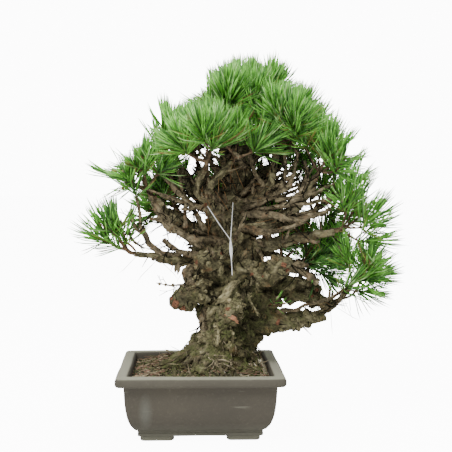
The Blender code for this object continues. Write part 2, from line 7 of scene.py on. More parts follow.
import json
import math

import bpy
import numpy as np
from mathutils import Matrix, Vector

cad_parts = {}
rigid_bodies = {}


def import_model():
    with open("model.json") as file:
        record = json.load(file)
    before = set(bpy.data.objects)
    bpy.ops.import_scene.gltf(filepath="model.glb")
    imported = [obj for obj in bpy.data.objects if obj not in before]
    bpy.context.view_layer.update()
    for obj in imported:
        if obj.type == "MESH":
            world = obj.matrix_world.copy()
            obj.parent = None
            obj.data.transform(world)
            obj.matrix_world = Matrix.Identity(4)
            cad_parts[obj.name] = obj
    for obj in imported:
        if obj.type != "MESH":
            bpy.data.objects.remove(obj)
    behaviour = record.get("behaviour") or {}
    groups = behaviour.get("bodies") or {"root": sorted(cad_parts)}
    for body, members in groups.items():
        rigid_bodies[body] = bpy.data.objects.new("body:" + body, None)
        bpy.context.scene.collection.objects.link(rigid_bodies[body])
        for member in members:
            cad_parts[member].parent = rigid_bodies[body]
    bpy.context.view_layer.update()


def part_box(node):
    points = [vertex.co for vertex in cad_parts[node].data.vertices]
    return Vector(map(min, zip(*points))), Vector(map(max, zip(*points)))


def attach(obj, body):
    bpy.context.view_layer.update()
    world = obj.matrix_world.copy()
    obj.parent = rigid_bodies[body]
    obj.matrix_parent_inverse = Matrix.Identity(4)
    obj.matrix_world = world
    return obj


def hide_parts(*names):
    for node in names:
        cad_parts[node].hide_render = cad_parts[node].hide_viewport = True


bl_info = {
    "name": "Potted black pine",
    "version": (1, 0, 0),
    "blender": (4, 5, 0),
    "location": "3D View > Sidebar > Pine",
    "description": "Builds the finished black pine, its pot and its ground cover round the packed solids",
    "category": "Object",
}

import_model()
POT_LOW, POT_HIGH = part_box("pot")
HOME = np.array([(POT_LOW[0] + POT_HIGH[0]) / 2, (POT_LOW[1] + POT_HIGH[1]) / 2, POT_LOW[2]])

MM = 0.001
CLEAR = 0.3 * MM
UP = np.array([0.0, 0.0, 1.0])
GOLDEN_ANGLE = math.pi * (3 - math.sqrt(5))

# Pot: inset from the rim's outer edge, height, and how softly that corner is rounded, in millimetres
POT_LENGTH = 365 * MM
POT_WIDTH = 274 * MM
POT_CORNER = 10 * MM
CORNER_LEAST = 4 * MM
POT_OUTSIDE = [
    (60, 12, 0.5), (47, 12, 1.5), (46, 13.5, 1), (46, 18.6, 0.6), (47.2, 19.4, 0.4), (47.2, 20.4, 0.4),
    (46, 21.2, 0.6), (46, 25.4, 1.2), (44, 26.4, 1), (40.5, 28, 1.5), (32, 39, 8), (26.5, 53, 8),
    (22.5, 71, 9),
    (20, 91, 9), (18.5, 111, 8), (17.8, 126, 2), (14, 129, 2), (3, 130.5, 2.5), (0, 135, 2.5), (0, 144.5, 3),
    (3, 149.4, 3), (9, 150, 3),
]
POT_INSIDE = [(23, 150, 3), (28, 147, 3), (30, 131, 5), (34, 90, 8), (41, 50, 8), (55, 27, 8), (100, 27, 2)]
FOOT_OUTSIDE = [(6, 0, 1), (1.4, 0, 1.2), (0, 1.6, 1.2), (0, 8.6, 1), (-0.8, 9.6, 0.5), (-0.8, 14, 1)]
FOOT_LENGTH = 74 * MM
FOOT_DEPTH = 52 * MM
FOOT_INSET = 51 * MM
POT_FLOOR = 27 * MM
STAIN_PLACE = (-118 * MM, 72 * MM)  # the middle of the pale stain on the pot's wall, along it and up
STAIN_SQUEEZE = 0.36  # its width by its height

# Soil: its edge line in the pot and the level top of its mound, as in the solids
SOIL_EDGE = 136 * MM
SOIL_TOP = 158 * MM
SOIL_INSET = 30 * MM + CLEAR
MOUND_CENTRE = np.array([46.0, -4.0]) * MM
MOUND_RADII = np.array([90.0, 76.0]) * MM

# Trunk, swellings, limbs and masses, as in the solids
TRUNK_STATIONS = [
    (50, -4, 158.3, 82), (52, -4, 177, 72), (60, -2, 205, 64), (72, 0, 238, 63), (87, 0, 295, 64),
    (82, 2, 353, 58), (66, 5, 410, 53), (54, 8, 467, 44), (64, 14, 524, 32), (88, 6, 580, 23),
    (100, -6, 640, 15), (104, 0, 700, 9),
]
LINE_RINGS = 20
TRUNK_LUMPS = 0.14
BURLS = [
    ((92, -30, 377), (44, -52, 267), 22, 27),
    ((80, -45, 297), (58, -76, 267), 22, 17),
    ((36, -10, 355), (-2, -28, 336), 28, 20),
    ((34, -10, 290), (-8, -24, 266), 25, 17),
    ((24, -12, 227), (4, -24, 216), 20, 13),
    ((116, -8, 285), (170, -14, 262), 38, 24),
    ((62, 30, 287), (50, 68, 257), 32, 20),
    ((30, -16, 420), (-20, -26, 424), 28, 17),
    ((96, 20, 405), (128, 34, 423), 26, 17),
    ((36, -30, 201), (-26, -38, 165), 22, 12),
    ((60, -40, 195), (48, -72, 163), 20, 12),
    ((84, -20, 195), (124, -34, 163), 20, 11),
    ((50, 30, 195), (14, 60, 163), 22, 12),
    ((80, 30, 197), (108, 50, 163), 20, 11),
    ((20, -12, 372), (-26, -30, 360), 25, 16),
    ((130, -14, 300), (184, -26, 294), 24, 14),
]
BURL_LUMPS = 0.16
GNARLS = 21
GNARL_SEED = 71
GNARL_SHARES = (0.1, 0.58)
GNARL_RADII = (8 * MM, 13 * MM)
GNARL_SUNK = 0.4  # share of the trunk's radius that a gnarl starts inside the bark
GNARL_PROUD = 0.9  # how far it stands out, by its own radius
GNARL_BLUNT = 1.5  # its radius near the end, by the radius at its start
SWELL_SIZE = 44 * MM
SWELL_DEPTH = 6.5 * MM
SWELL_THICKNESS = 45 * MM
LIMBS = [
    ("left_low", "trunk", 390, (-148, -30, 404), (0, -6, -6), 20, 6, 6),
    ("left_high", "trunk", 440, (-108, -20, 529), (-14, -4, -18), 32, 11, 8),
    ("left_shoulder", "trunk", 505, (-48, 24, 600), (-16, 6, -12), 17, 8, 9),
    ("left_front", "trunk", 475, (4, -78, 588), (-30, -30, -10), 17, 8, 8),
    ("crook", "trunk", 499, (62, -70, 606), (-46, -52, -22), 15, 7, 4),
    ("apex_left", "trunk", 571, (52, -22, 676), (-18, -10, -6), 14, 8, 6),
    ("apex_back", "trunk", 557, (74, 66, 662), (-4, 18, -12), 13, 8, 6),
    ("right_top", "trunk", 505, (168, -32, 636), (22, -16, -26), 18, 8, 9),
    ("right_top_back", "trunk", 545, (206, 50, 648), (4, 12, -16), 14, 8, 8),
    ("right_up", "trunk", 467, (248, -46, 568), (20, -22, -34), 20, 9, 10),
    ("right_mid", "trunk", 417, (296, -34, 457), (0, -14, -6), 22, 9, 9),
    ("right_mid_back", "trunk", 445, (246, 62, 488), (0, 10, -4), 20, 9, 8),
    ("right_out", "right_mid_back", 0.5, (288, 14, 520), (4, -6, -8), 12, 7, 5),
    ("right_low", "trunk", 258, (282, -26, 262), (0, -6, -10), 32, 16, 9),
    ("right_low_tip", "right_low", 0.8, (334, -22, 322), (8, 0, -8), 10, 6, 4),
    ("right_low_back", "trunk", 355, (240, 96, 374), (0, 14, -8), 19, 8, 7),
    ("back_low", "trunk", 365, (142, 126, 408), (-6, 16, -8), 19, 8, 8),
    ("back_mid", "trunk", 435, (88, 150, 500), (0, 14, -10), 19, 8, 8),
    ("back_left", "trunk", 417, (-46, 122, 484), (-8, 10, -10), 19, 8, 8),
    ("back_left_up", "trunk", 517, (-4, 98, 600), (-8, 14, -10), 15, 8, 8),
    ("back_right_up", "trunk", 511, (166, 132, 584), (0, 12, -12), 15, 8, 8),
    ("left_stub", "trunk", 326, (-66, -36, 292), (4, -6, 12), 40, 25, 6),
    ("left_knob", "trunk", 371, (-4, -74, 392), (0, -6, 4), 28, 24, 3),
    ("middle_stub", "trunk", 366, (196, -78, 396), (-8, -24, -14), 29, 20, 7),
    ("right_stub", "trunk", 340, (276, 16, 312), (6, 0, 12), 34, 19, 9),
    ("right_fork", "right_stub", 0.5, (300, -22, 296), (4, -10, -16), 18, 9, 6),
]
LIMB_RINGS = 9
LIMB_LUMPS = 0.16
LIMB_TAPER = 1.25
STUBS = ["left_stub", "left_knob", "middle_stub", "right_stub", "right_fork", "right_low"]
FULLNESS = {
    "left_low": 0.42, "left_high": 0.85, "left_shoulder": 0.95, "left_front": 1.15, "crook": 1.2,
    "apex_left": 1.3, "trunk": 1.45, "apex_back": 1.15, "right_top": 1.2, "right_top_back": 0.7,
    "right_up": 0.7, "right_mid": 0.44, "right_mid_back": 0.6, "right_out": 0.4, "right_low_tip": 0.46,
    "right_low_back": 0.9, "back_low": 0.75,
}
# Where the photograph shows sky at the crown's edge: pixel across and down, and how many pixels it reaches
SKY = [
    (133, 131, 11), (121, 146, 9), (109, 157, 7), (146, 119, 6), (193, 86, 7), (185, 92, 5),
    (196, 215, 5), (190, 173, 6), (190, 242, 5), (354, 149, 7), (155, 109, 5), (203, 82, 5), (99, 160, 6),
    (124, 210, 7), (149, 212, 6), (106, 186, 7), (366, 164, 5), (374, 190, 5), (354, 212, 4), (162, 126, 4),
]
MASSES = [
    ("left_low", 4, 56, 36, 1.7),
    ("left_high", 6, 60, 66, 0.8),
    ("left_shoulder", 6, 62, 70, 0.9),
    ("left_front", 5, 56, 76, 1.0),
    ("crook", 4, 52, 70, 1.0),
    ("apex_left", 5, 52, 70, 1.0),
    ("trunk", 6, 52, 74, 1.0),
    ("apex_back", 5, 52, 74, 0.8),
    ("right_top", 6, 56, 74, 1.0),
    ("right_top_back", 6, 58, 74, 0.8),
    ("right_up", 6, 60, 72, 0.7),
    ("right_mid", 6, 60, 70, 0.5),
    ("right_mid_back", 5, 56, 74, 0.4),
    ("right_out", 5, 56, 66, 0.4),
    ("right_low_tip", 4, 52, 60, 0.8),
    ("right_low_back", 6, 62, 80, 0.5),
    ("back_low", 6, 60, 78, 0.4),
    ("back_mid", 6, 60, 76, 0.5),
    ("back_left", 6, 62, 76, 0.6),
    ("back_left_up", 5, 58, 76, 0.8),
    ("back_right_up", 5, 58, 74, 0.7),
]
CROWN_CENTRE = np.array([80.0, 20.0, 445.0]) * MM
STEM_SHARE = 0.45
STEM_POINTS = 3
TUFT_CORE = 6.5 * MM
ROOM_TO_LIMB = 2.0 * MM
ROOM_TO_MASS = 0.6 * MM

# Hollows sunk in the trunk and boughs, with shade painted in them: centre, radius and depth
HOLLOWS = [
    ((96, -62, 352), 15, 20), ((88, -60, 392), 13, 16), ((116, -50, 318), 16, 20), ((18, -52, 318), 12, 14),
    ((34, -46, 296), 11, 12), ((112, -44, 268), 14, 14), ((36, -44, 384), 12, 14), ((100, -46, 430), 12, 14),
    ((20, -20, 300), 13, 14), ((60, 72, 330), 16, 18), ((24, 50, 270), 14, 15), ((130, 46, 300), 15, 16),
    ((96, 64, 400), 14, 15), ((20, 24, 380), 14, 14), ((100, 60, 240), 13, 12), ((70, -38, 470), 10, 10),
    ((34, -50, 339), 14, 14), ((48, -54, 370), 15, 16), ((98, -54, 322), 19, 14), ((117, -50, 285), 25, 15),
    ((98, -58, 240), 23, 11), ((134, -38, 252), 20, 12), ((66, -64, 240), 13, 6), ((20, -46, 252), 12, 9),
]

PIT_SIZE = 25 * MM
PIT_DEPTH = 10 * MM

# Bare and dead twigs, and thin branches, drawn as listed: points, then the first and the last radius
HAND_TWIGS = [
    ([(-44, -28, 403), (-72, -34, 404), (-98, -32, 414), (-125, -30, 447), (-138, -30, 496),
      (-142, -28, 520)], 6.0, 2.4),
    ([(-86, -30, 402), (-112, -34, 420), (-134, -36, 447), (-148, -36, 472), (-157, -36, 494)], 5.0, 3.2),
    ([(-26, -50, 326), (-44, -64, 341), (-72, -66, 340), (-98, -62, 343)], 3.2, 1.2),
    ([(160, -24, 268), (200, -40, 280), (236, -46, 290), (267, -46, 299), (296, -44, 310),
      (330, -40, 330)], 8.0, 3.0),
    ([(48, -20, 515), (18, -58, 546), (8, -58, 576), (12, -48, 618)], 9.0, 4.5),
    ([(92, -30, 494), (150, -60, 492), (205, -66, 484), (262, -60, 496), (286, -52, 508)], 12.0, 4.5),
    ([(120, -30, 548), (134, -52, 556), (116, -50, 588), (104, -42, 624)], 8.0, 4.0),
    ([(100, -16, 520), (150, -44, 532), (190, -60, 556), (204, -60, 592)], 9.5, 4.0),
    ([(140, -40, 524), (176, -56, 552), (184, -56, 592), (180, -50, 632)], 7.5, 3.5),
    ([(190, -56, 520), (222, -60, 552), (232, -56, 586), (226, -50, 612)], 7.0, 3.5),
    ([(120, -30, 500), (170, -60, 512), (216, -66, 530), (250, -60, 552)], 8.5, 4.0),
    ([(60, -14, 480), (20, -40, 500), (-20, -44, 516), (-56, -40, 548), (-70, -34, 576)], 13.0, 4.5),
    ([(50, -20, 430), (8, -44, 438), (-30, -50, 444), (-66, -44, 458), (-96, -36, 486)], 16.0, 5.0),
    ([(90, -30, 462), (140, -58, 456), (190, -70, 466), (226, -66, 480)], 10.5, 4.0),
    ([(96, 10, 590), (120, -18, 612), (132, -30, 640), (126, -30, 668)], 7.0, 3.5),
    ([(90, 10, 540), (40, 6, 580), (20, -6, 620), (22, -10, 650)], 7.5, 3.5),
    ([(70, 10, 470), (20, 40, 500), (-20, 56, 540), (-40, 50, 566)], 9.0, 4.0),
    ([(110, 10, 500), (160, 50, 530), (196, 80, 550), (220, 84, 580)], 9.0, 4.0),
    ([(110, 20, 400), (170, 30, 398), (214, 20, 384), (256, 4, 366)], 9.0, 3.0),
    ([(92, -30, 505), (162, -46, 529), (218, -52, 556), (266, -48, 595)], 8.0, 3.0),
    ([(100, -20, 520), (134, -34, 534), (185, -44, 547), (229, -48, 574), (253, -46, 613)], 7.5, 2.8),
    ([(96, -10, 540), (118, -20, 558), (163, -30, 574), (200, -34, 596), (218, -34, 636)], 7.0, 2.8),
    ([(120, -30, 530), (151, -44, 547), (196, -56, 578), (209, -56, 613), (200, -52, 646)], 6.5, 2.6),
    ([(160, -60, 525), (218, -66, 536), (258, -64, 547), (295, -56, 565)], 6.0, 2.6),
    ([(140, -50, 505), (174, -60, 514), (229, -64, 518), (284, -58, 525), (317, -48, 540)], 7.0, 2.6),
    ([(104, 10, 500), (160, 14, 540), (206, 20, 560), (236, 24, 600)], 8.0, 3.0),
    ([(100, 14, 530), (150, 20, 570), (182, 24, 600), (196, 24, 640)], 7.0, 3.0),
    ([(104, 0, 470), (170, 10, 480), (230, 20, 486), (284, 16, 500)], 8.0, 3.0),
    ([(60, -20, 520), (20, -20, 548), (-14, -24, 560), (-34, -20, 592)], 7.0, 3.0),
    ([(54, -30, 426), (0, -40, 430), (-46, -42, 450), (-80, -38, 488), (-114, -30, 530)], 14.0, 6.0),
    ([(46, -30, 508), (10, -36, 514), (-26, -36, 516), (-70, -34, 528), (-122, -30, 548)], 9.0, 4.0),
    ([(8, -36, 458), (-22, -40, 510), (-50, -40, 548), (-80, -36, 570)], 8.0, 4.0),
    ([(-36, -36, 462), (-36, -40, 512), (-44, -36, 556), (-52, -30, 590)], 7.5, 3.5),
    ([(12, -34, 402), (-26, -40, 404), (-58, -42, 416), (-84, -36, 436)], 11.0, 6.0),
    ([(-40, -40, 446), (-76, -40, 470), (-106, -34, 506)], 9.0, 5.0),
    ([(150, -40, 356), (168, -48, 366), (199, -50, 372), (232, -48, 364), (260, -44, 342)], 17.0, 9.0),
    ([(190, -50, 366), (214, -56, 384), (236, -52, 380)], 9.0, 6.0),
    ([(4, -30, 392), (-20, -36, 376), (-30, -38, 354), (-18, -34, 334)], 13.0, 10.0),
    ([(16, -30, 286), (3, -34, 264), (5, -34, 242), (18, -30, 226)], 11.0, 10.0),
    ([(-164, -34, 464), (-154, -36, 436), (-126, -34, 416)], 3.0, 2.4),
]

# Shoots with needles that stand apart from the masses: foot, tip, heading, pairs of needles and tone
LONE_SHOOTS = [
    ((330, -40, 330), (356, -44, 346), (0.85, -0.25, 0.45), 44, 0),
    ((326, -36, 324), (370, -26, 350), (0.95, 0.1, 0.15), 40, 0),
    ((318, -38, 322), (350, -40, 322), (0.95, -0.2, -0.05), 22, 1),
    ((296, -44, 310), (318, -56, 330), (0.5, -0.5, 0.7), 22, 1),
    ((-145, -36, 410), (-164, -40, 430), (-0.3, -0.25, 0.9), 22, 0),
    ((-150, -34, 404), (-182, -34, 418), (-0.85, -0.2, 0.5), 20, 0),
    ((-142, -28, 520), (-146, -28, 534), (-0.2, -0.2, 0.95), 30, 1),
    ((256, 4, 366), (270, -4, 362), (0.6, -0.4, -0.3), 36, 2),
    ((214, 20, 384), (236, 0, 380), (0.45, -0.55, 0.1), 36, 2),
    ((240, 6, 374), (262, 10, 386), (0.8, -0.1, 0.5), 36, 2),
    ((98, 2, 706), (124, -10, 766), (-0.2, -0.15, 0.97), 60, 0),
    ((104, 0, 706), (152, -4, 768), (0.1, -0.1, 0.98), 60, 0),
    ((106, 0, 704), (168, 6, 764), (0.24, 0.0, 0.96), 50, 1),
    ((150, -48, 290), (158, -66, 298), (0.35, -0.6, 0.7), 6, 1),
    ((150, -48, 290), (164, -60, 292), (0.8, -0.4, 0.3), 4, 1),
]

# Which masses are joined into one piece of needles, and which limbs into one piece of bark
NEEDLE_REGIONS = {
    "left": ["left_low", "left_high", "left_shoulder", "left_front"],
    "top": ["crook", "apex_left", "trunk", "apex_back"],
    "upper_right": ["right_top", "right_top_back", "right_up"],
    "right": ["right_mid", "right_mid_back", "right_out", "right_low_tip", "right_low_back"],
    "back": ["back_low", "back_mid", "back_left", "back_left_up", "back_right_up"],
}
BOUGH_REGIONS = {
    "left": ["left_low", "left_high", "left_shoulder", "left_front", "left_stub", "left_knob", "crook"],
    "top": ["apex_left", "apex_back", "right_top", "right_top_back", "right_up", "middle_stub"],
    "right": [
        "right_mid", "right_mid_back", "right_out", "right_low", "right_low_tip", "right_stub", "right_fork",
    ],
    "back": ["right_low_back", "back_low", "back_mid", "back_left", "back_left_up", "back_right_up"],
}

# Camera: in the shapes' own frame
CAMERA_PLACE = np.array([-0.0230, -1.5785, 0.5501])
CAMERA_YAW, CAMERA_PITCH, CAMERA_ROLL = 0.0502, -0.0537, 0.0082
CAMERA_LENS = 55.44
SENSOR_WIDTH = 36.0
FRAME_PIXELS = 452


# Settings


def length_setting(name, description, default):
    """A length in metres."""
    return bpy.props.FloatProperty(name=name, description=description, default=default, unit="LENGTH")


def count_setting(name, description, default, least):
    """A whole number from the least allowed."""
    return bpy.props.IntProperty(name=name, description=description, default=default, min=least)


def colour_setting(name, description, default):
    """A colour as three numbers."""
    return bpy.props.FloatVectorProperty(
        name=name, description=description, default=default, subtype="COLOR", size=3
    )


class PineSettings(bpy.types.PropertyGroup):
    """Sizes and colours that a user may change before building."""

    needle_length: length_setting("Needle length", "Length of the longest needles", 0.1)
    needle_radius: length_setting("Needle radius", "Half the thickness of a needle", 0.0013)
    needle_pairs: count_setting("Needle pairs", "Pairs of needles on a main shoot", 66, 1)
    side_shoots: count_setting("Side shoots", "Finer shoots that grow from each twig", 1, 0)
    bark_depth: length_setting("Bark depth", "Depth of the cracks in the trunk's bark", 0.016)
    bark_plate: length_setting("Bark plate", "Width of one plate of the trunk's bark", 0.017)
    pot_colour: colour_setting("Pot", "Colour of the unglazed clay", (0.088, 0.078, 0.058))
    rim_colour: colour_setting("Pot rim", "Colour of the weathered clay of the rim", (0.205, 0.20, 0.15))
    bark_colour: colour_setting("Bark", "Colour of the bark's crests", (0.35, 0.315, 0.19))
    moss_colour: colour_setting("Moss", "Colour of the moss low on the trunk", (0.12, 0.145, 0.045))
    # the young needles' green also paints light on shoots high in the crown, and the old needles' green
    # paints shade on shoots low or behind
    young_and_lit_needle: colour_setting("Young and lit needles", "Colour of the brightest needles", (0.24, 0.62, 0.095))
    old_and_shaded_needle: colour_setting("Old and shaded needles", "Colour of the deepest green needles", (0.075, 0.21, 0.045))


def settings():
    """The settings kept in the scene."""
    return bpy.context.scene.pine_settings


# Lines and curves, as in the solids


def unit(vector):
    """The vector at length 1, along the last axis."""
    return vector / np.linalg.norm(vector, axis=-1, keepdims=True)


def even_shares(count):
    """Even shares from 0 to 1, as one column."""
    return np.linspace(0, 1, count)[:, None]


def round_angles(sides):
    """The angles of the points round a ring, as one row."""
    return np.arange(sides)[None] * 2 * math.pi / sides


def turned(turn, across, upward):
    """The direction at an angle between two directions across each other."""
    return math.cos(turn) * across + math.sin(turn) * upward


def turning(foot, way, later, reach, t):
    """A curve that sets off one way and turns evenly to another: a quadratic in the share t of its reach."""
    return foot + way * reach * t * (1 - t / 2) + later * reach * t**2 / 2


def curve_through(stations, count):
    """Catmull-Rom curve through rows of numbers, at count equal steps: a cubic between each two rows."""
    rows = np.array(stations, float)
    ends = np.vstack([2 * rows[0] - rows[1], rows, 2 * rows[-1] - rows[-2]])
    place = np.linspace(0, len(rows) - 1, count)
    base = np.minimum(place.astype(int), len(rows) - 2)
    t = (place - base)[:, None]
    a, b, c, d = ends[base], ends[base + 1], ends[base + 2], ends[base + 3]
    return 0.5 * (2 * b + (c - a) * t + (2 * a - 5 * b + 4 * c - d) * t**2 + (3 * b - a - 3 * c + d) * t**3)


def side_frames(along):
    """Two unit vectors across the path at each point, carried along it with no twist."""
    first = np.cross(along[0], [0.0, 1.0, 0.0])
    if np.linalg.norm(first) < 0.3:
        first = np.cross(along[0], [1.0, 0.0, 0.0])
    across = [unit(first)]
    for direction in along[1:]:
        across.append(unit(across[-1] - direction * (across[-1] @ direction)))
    across = np.array(across)
    return across, np.cross(along, across)


def line_frames(line):
    """A line's directions, and two unit vectors across it at each point."""
    along = unit(np.gradient(line, axis=0))
    return along, *side_frames(along)


def random_side(rng, frames, first, last):
    """A random point of a line between two shares of it, by its number, and a random direction across it."""
    along, across, upward = frames
    i = int(rng.uniform(first, last) * (len(along) - 1))
    return i, turned(rng.uniform(0, 2 * math.pi), across[i], upward[i])


def lumps(share, angle, seed, depth):
    """Swelling of a limb's radius: a few cosine waves round it and along it, shifted by a seed."""
    rng = np.random.default_rng(seed)
    total = np.zeros(np.broadcast(share, angle).shape)
    for waves_round, waves_along in ((2, 2), (3, 5), (1, 8), (4, 3)):
        shift, start = rng.uniform(0, 2 * math.pi, 2)
        total = total + np.cos(waves_round * angle + shift) * np.cos(waves_along * math.pi * share + start)
    return 1 + depth * total / 2


def trunk_line(count):
    """The trunk's centre line, its radii and its directions, from the soil to its tip."""
    rows = curve_through(TRUNK_STATIONS, count) * MM
    along = unit(np.gradient(rows[:, :3], axis=0))
    along[0] = UP
    return rows[:, :3], rows[:, 3], along


def limb_line(limb, count):
    """A limb's line and radii: a bowed curve, with a seeded wander that fades at its ends."""
    seed, foot, tip, bow, radii, crook, rounded = limb
    rng = np.random.default_rng(100 + seed)
    share = even_shares(count)
    middle = (foot + tip) / 2 + 2 * bow
    line = (1 - share) ** 2 * foot + 2 * share * (1 - share) * middle + share**2 * tip
    for waves in (2, 3, 5):
        turn = rng.normal(size=3)
        wave = np.sin(waves * math.pi * share + rng.uniform(0, 6))
        line = line + np.sin(math.pi * share) * wave * turn * crook / waves
    thickness = radii[1] + (radii[0] - radii[1]) * (1 - share[:, 0]) ** LIMB_TAPER
    if rounded:
        thickness = thickness * np.sqrt(1.05 - 0.75 * share[:, 0] ** 6)
    return line, thickness


def plan_limbs():
    """What each limb's line is drawn from, and the coarse lines that the solids use, by name."""
    lines, plans = {"trunk": trunk_line(LINE_RINGS)[:2]}, {}
    for seed, (name, parent, place, tip, bow, first, last, crook) in enumerate(LIMBS):
        line = lines[parent][0]
        if parent == "trunk":
            foot = np.array([np.interp(place * MM, line[:, 2], line[:, axis]) for axis in range(3)])
        else:
            foot = line[round(place * (len(line) - 1))]
        radii = (first * MM, last * MM)
        plans[name] = (seed, foot, np.array(tip) * MM, np.array(bow) * MM, radii, crook * MM, name in STUBS)
        lines[name] = limb_line(plans[name], LIMB_RINGS)
    return lines, plans


def gnarl_rows():
    """Where each gnarl starts and ends, and its radii: by even steps up, and round by the golden angle."""
    path, radii, along = trunk_line(LINE_RINGS)
    across, upward = side_frames(along)
    rng = np.random.default_rng(GNARL_SEED)
    rows = []
    for number in range(GNARLS):
        share = np.interp((number + rng.uniform(0, 1)) / GNARLS, [0, 1], GNARL_SHARES)
        place = share * (LINE_RINGS - 1)
        ring = int(place)
        turn = number * GOLDEN_ANGLE + rng.uniform(-0.4, 0.4)
        side = turned(turn, across[ring], upward[ring])
        radius = rng.uniform(*GNARL_RADII)
        foot = path[ring] + (path[ring + 1] - path[ring]) * (place - ring)
        foot = foot + side * radii[ring] * (1 - GNARL_SUNK)
        length = radii[ring] * GNARL_SUNK + radius * GNARL_PROUD
        rows.append((foot, foot + side * length, radius, radius * GNARL_BLUNT))
    return rows


LINES, PLANS = plan_limbs()


def mass_lean(mass):
    """A limb's own direction at its tip, and the direction that its mass opens round: outward and up."""
    line = LINES[mass[0]][0]
    start = unit(line[-1] - line[-2])
    return start, unit(start * 0.7 + unit(line[-1] - CROWN_CENTRE) * 0.5 + UP * mass[4])


CENTRES = [LINES[mass[0]][0][-1] + mass_lean(mass)[1] * mass[2] * MM * 0.9 for mass in MASSES]


def grow_mass(seed, mass):
    """The rule by which a mass grows: a stem from the limb's tip, and twigs that open round its line."""
    name, shoots, spread, opening, lift = mass
    rng = np.random.default_rng(1000 + seed)
    start, lean = mass_lean(mass)
    reach = spread * MM
    foot = LINES[name][0][-1] + start * CLEAR
    share = even_shares(STEM_POINTS)
    bend = foot + start * reach * STEM_SHARE * 0.5
    end = bend + lean * reach * STEM_SHARE * 0.5
    stem = (1 - share) ** 2 * foot + 2 * share * (1 - share) * bend + share**2 * end
    across, upward = side_frames(np.array([lean]))
    twigs = []
    turn = rng.uniform(0, 2 * math.pi)
    for i in range(shoots):
        rank = i / (shoots - 1)
        polar = math.radians(opening) * math.sqrt(rank) * rng.uniform(0.85, 1.1)
        turn += GOLDEN_ANGLE + rng.uniform(-0.25, 0.25)
        side = turned(turn, across[0], upward[0])
        heading = unit(math.cos(polar) * lean + math.sin(polar) * side)
        base = stem[-1] + (stem[1] - stem[-1]) * rank * rng.uniform(0.3, 0.8)
        length = reach * rng.uniform(0.8, 1.0) * (0.75 + 0.25 * rank)
        shoot = unit(heading + UP * (0.2 + 0.5 * lift))
        middle = base + heading * length * 0.5
        tip = middle + unit(heading + shoot) * length * 0.5
        twigs.append((np.array([base, middle, tip]), shoot))
    return stem, twigs


def inside_space(points, index, margin):
    """Where a point is nearer to its own mass's centre than to any other centre, by the margin."""
    own = CENTRES[index]
    gap = np.array(CENTRES[:index] + CENTRES[index + 1 :]) - own
    depth = ((own + gap / 2 - points[:, None]) * gap).sum(2) / np.linalg.norm(gap, axis=1)
    return (depth >= margin).all(1)


def off_limbs(points, room):
    """Where a point is clear of every limb, taken as a chain of rounded rods, by the room given."""
    free = np.ones(len(points), bool)
    for line, radii in LINES.values():
        a, run = line[:-1], line[1:] - line[:-1]
        share = np.clip(((points[:, None] - a) * run).sum(2) / (run * run).sum(1), 0, 1)
        far = np.linalg.norm(points[:, None] - a - run * share[:, :, None], axis=2)
        free &= (far >= np.maximum(radii[:-1], radii[1:]) * (1 + LIMB_LUMPS) + room).all(1)
    return free


def kept_twigs(index):
    """The twigs of a mass that the solids have: those that stay in its space and off the limbs."""
    stem, twigs = grow_mass(index, MASSES[index])
    kept = []
    for points, heading in twigs:
        outer = points[1] + (points[2] - points[1]) * even_shares(14)
        inside = inside_space(points[1:], index, TUFT_CORE + ROOM_TO_MASS).all()
        if inside and off_limbs(outer, TUFT_CORE + ROOM_TO_LIMB).all():
            kept.append((points, heading))
    return stem, kept


# Noise


def hashed(cell, salt):
    """A number from 0 to 1 for each whole-number cell: its three indices mixed by large odd multipliers."""
    cell = cell.astype(np.int64)
    mixed = cell[..., 0] * 374761393 + cell[..., 1] * 668265263 + cell[..., 2] * 1103515245 + salt * 974634777
    mixed = mixed & 0xFFFFFFFF
    mixed = ((mixed ^ (mixed >> 13)) * 1274126177) & 0xFFFFFFFF
    return ((mixed ^ (mixed >> 16)) & 0xFFFFFF) / 0xFFFFFF


def soft_noise(points, size, salt):
    """Smooth noise from -1 to 1: random numbers at the corners of cubes of a size, blended between."""
    spot = points / size
    base = np.floor(spot)
    t = spot - base
    t = t * t * (3 - 2 * t)
    total = np.zeros(points.shape[:-1])
    for corner in np.ndindex(2, 2, 2):
        weight = np.prod(np.where(np.array(corner) == 1, t, 1 - t), axis=-1)
        total += hashed(base + np.array(corner), salt) * weight
    return total * 2 - 1


def soft_drift(points, size, salt):
    """Three smooth noises of one size, as one vector for each point."""
    return np.stack([soft_noise(points, size, salt + k) for k in range(3)], axis=-1)


def plates(points, size, salt):
    """Scattered plates: one seed in each cube of a size, and the gap between the two nearest seeds.

    Gives 0 in the cracks between plates up to 1 well inside them, and a random number for each plate.
    """
    spot = points / size
    base = np.floor(spot)
    first = np.full(points.shape[:-1], 9.0)
    second, number = first.copy(), np.zeros_like(first)
    for step in np.ndindex(3, 3, 3):
        cell = base + np.array(step) - 1
        seed = cell + np.stack([hashed(cell, salt + k) for k in range(3)], axis=-1)
        far = np.linalg.norm(spot - seed, axis=-1)
        nearer = far < first
        second = np.where(nearer, first, np.minimum(second, far))
        number = np.where(nearer, hashed(cell, salt + 3), number)
        first = np.where(nearer, far, first)
    t = np.clip((second - first) * 2.4, 0, 1)
    return t * (2 - t), number


# Meshes


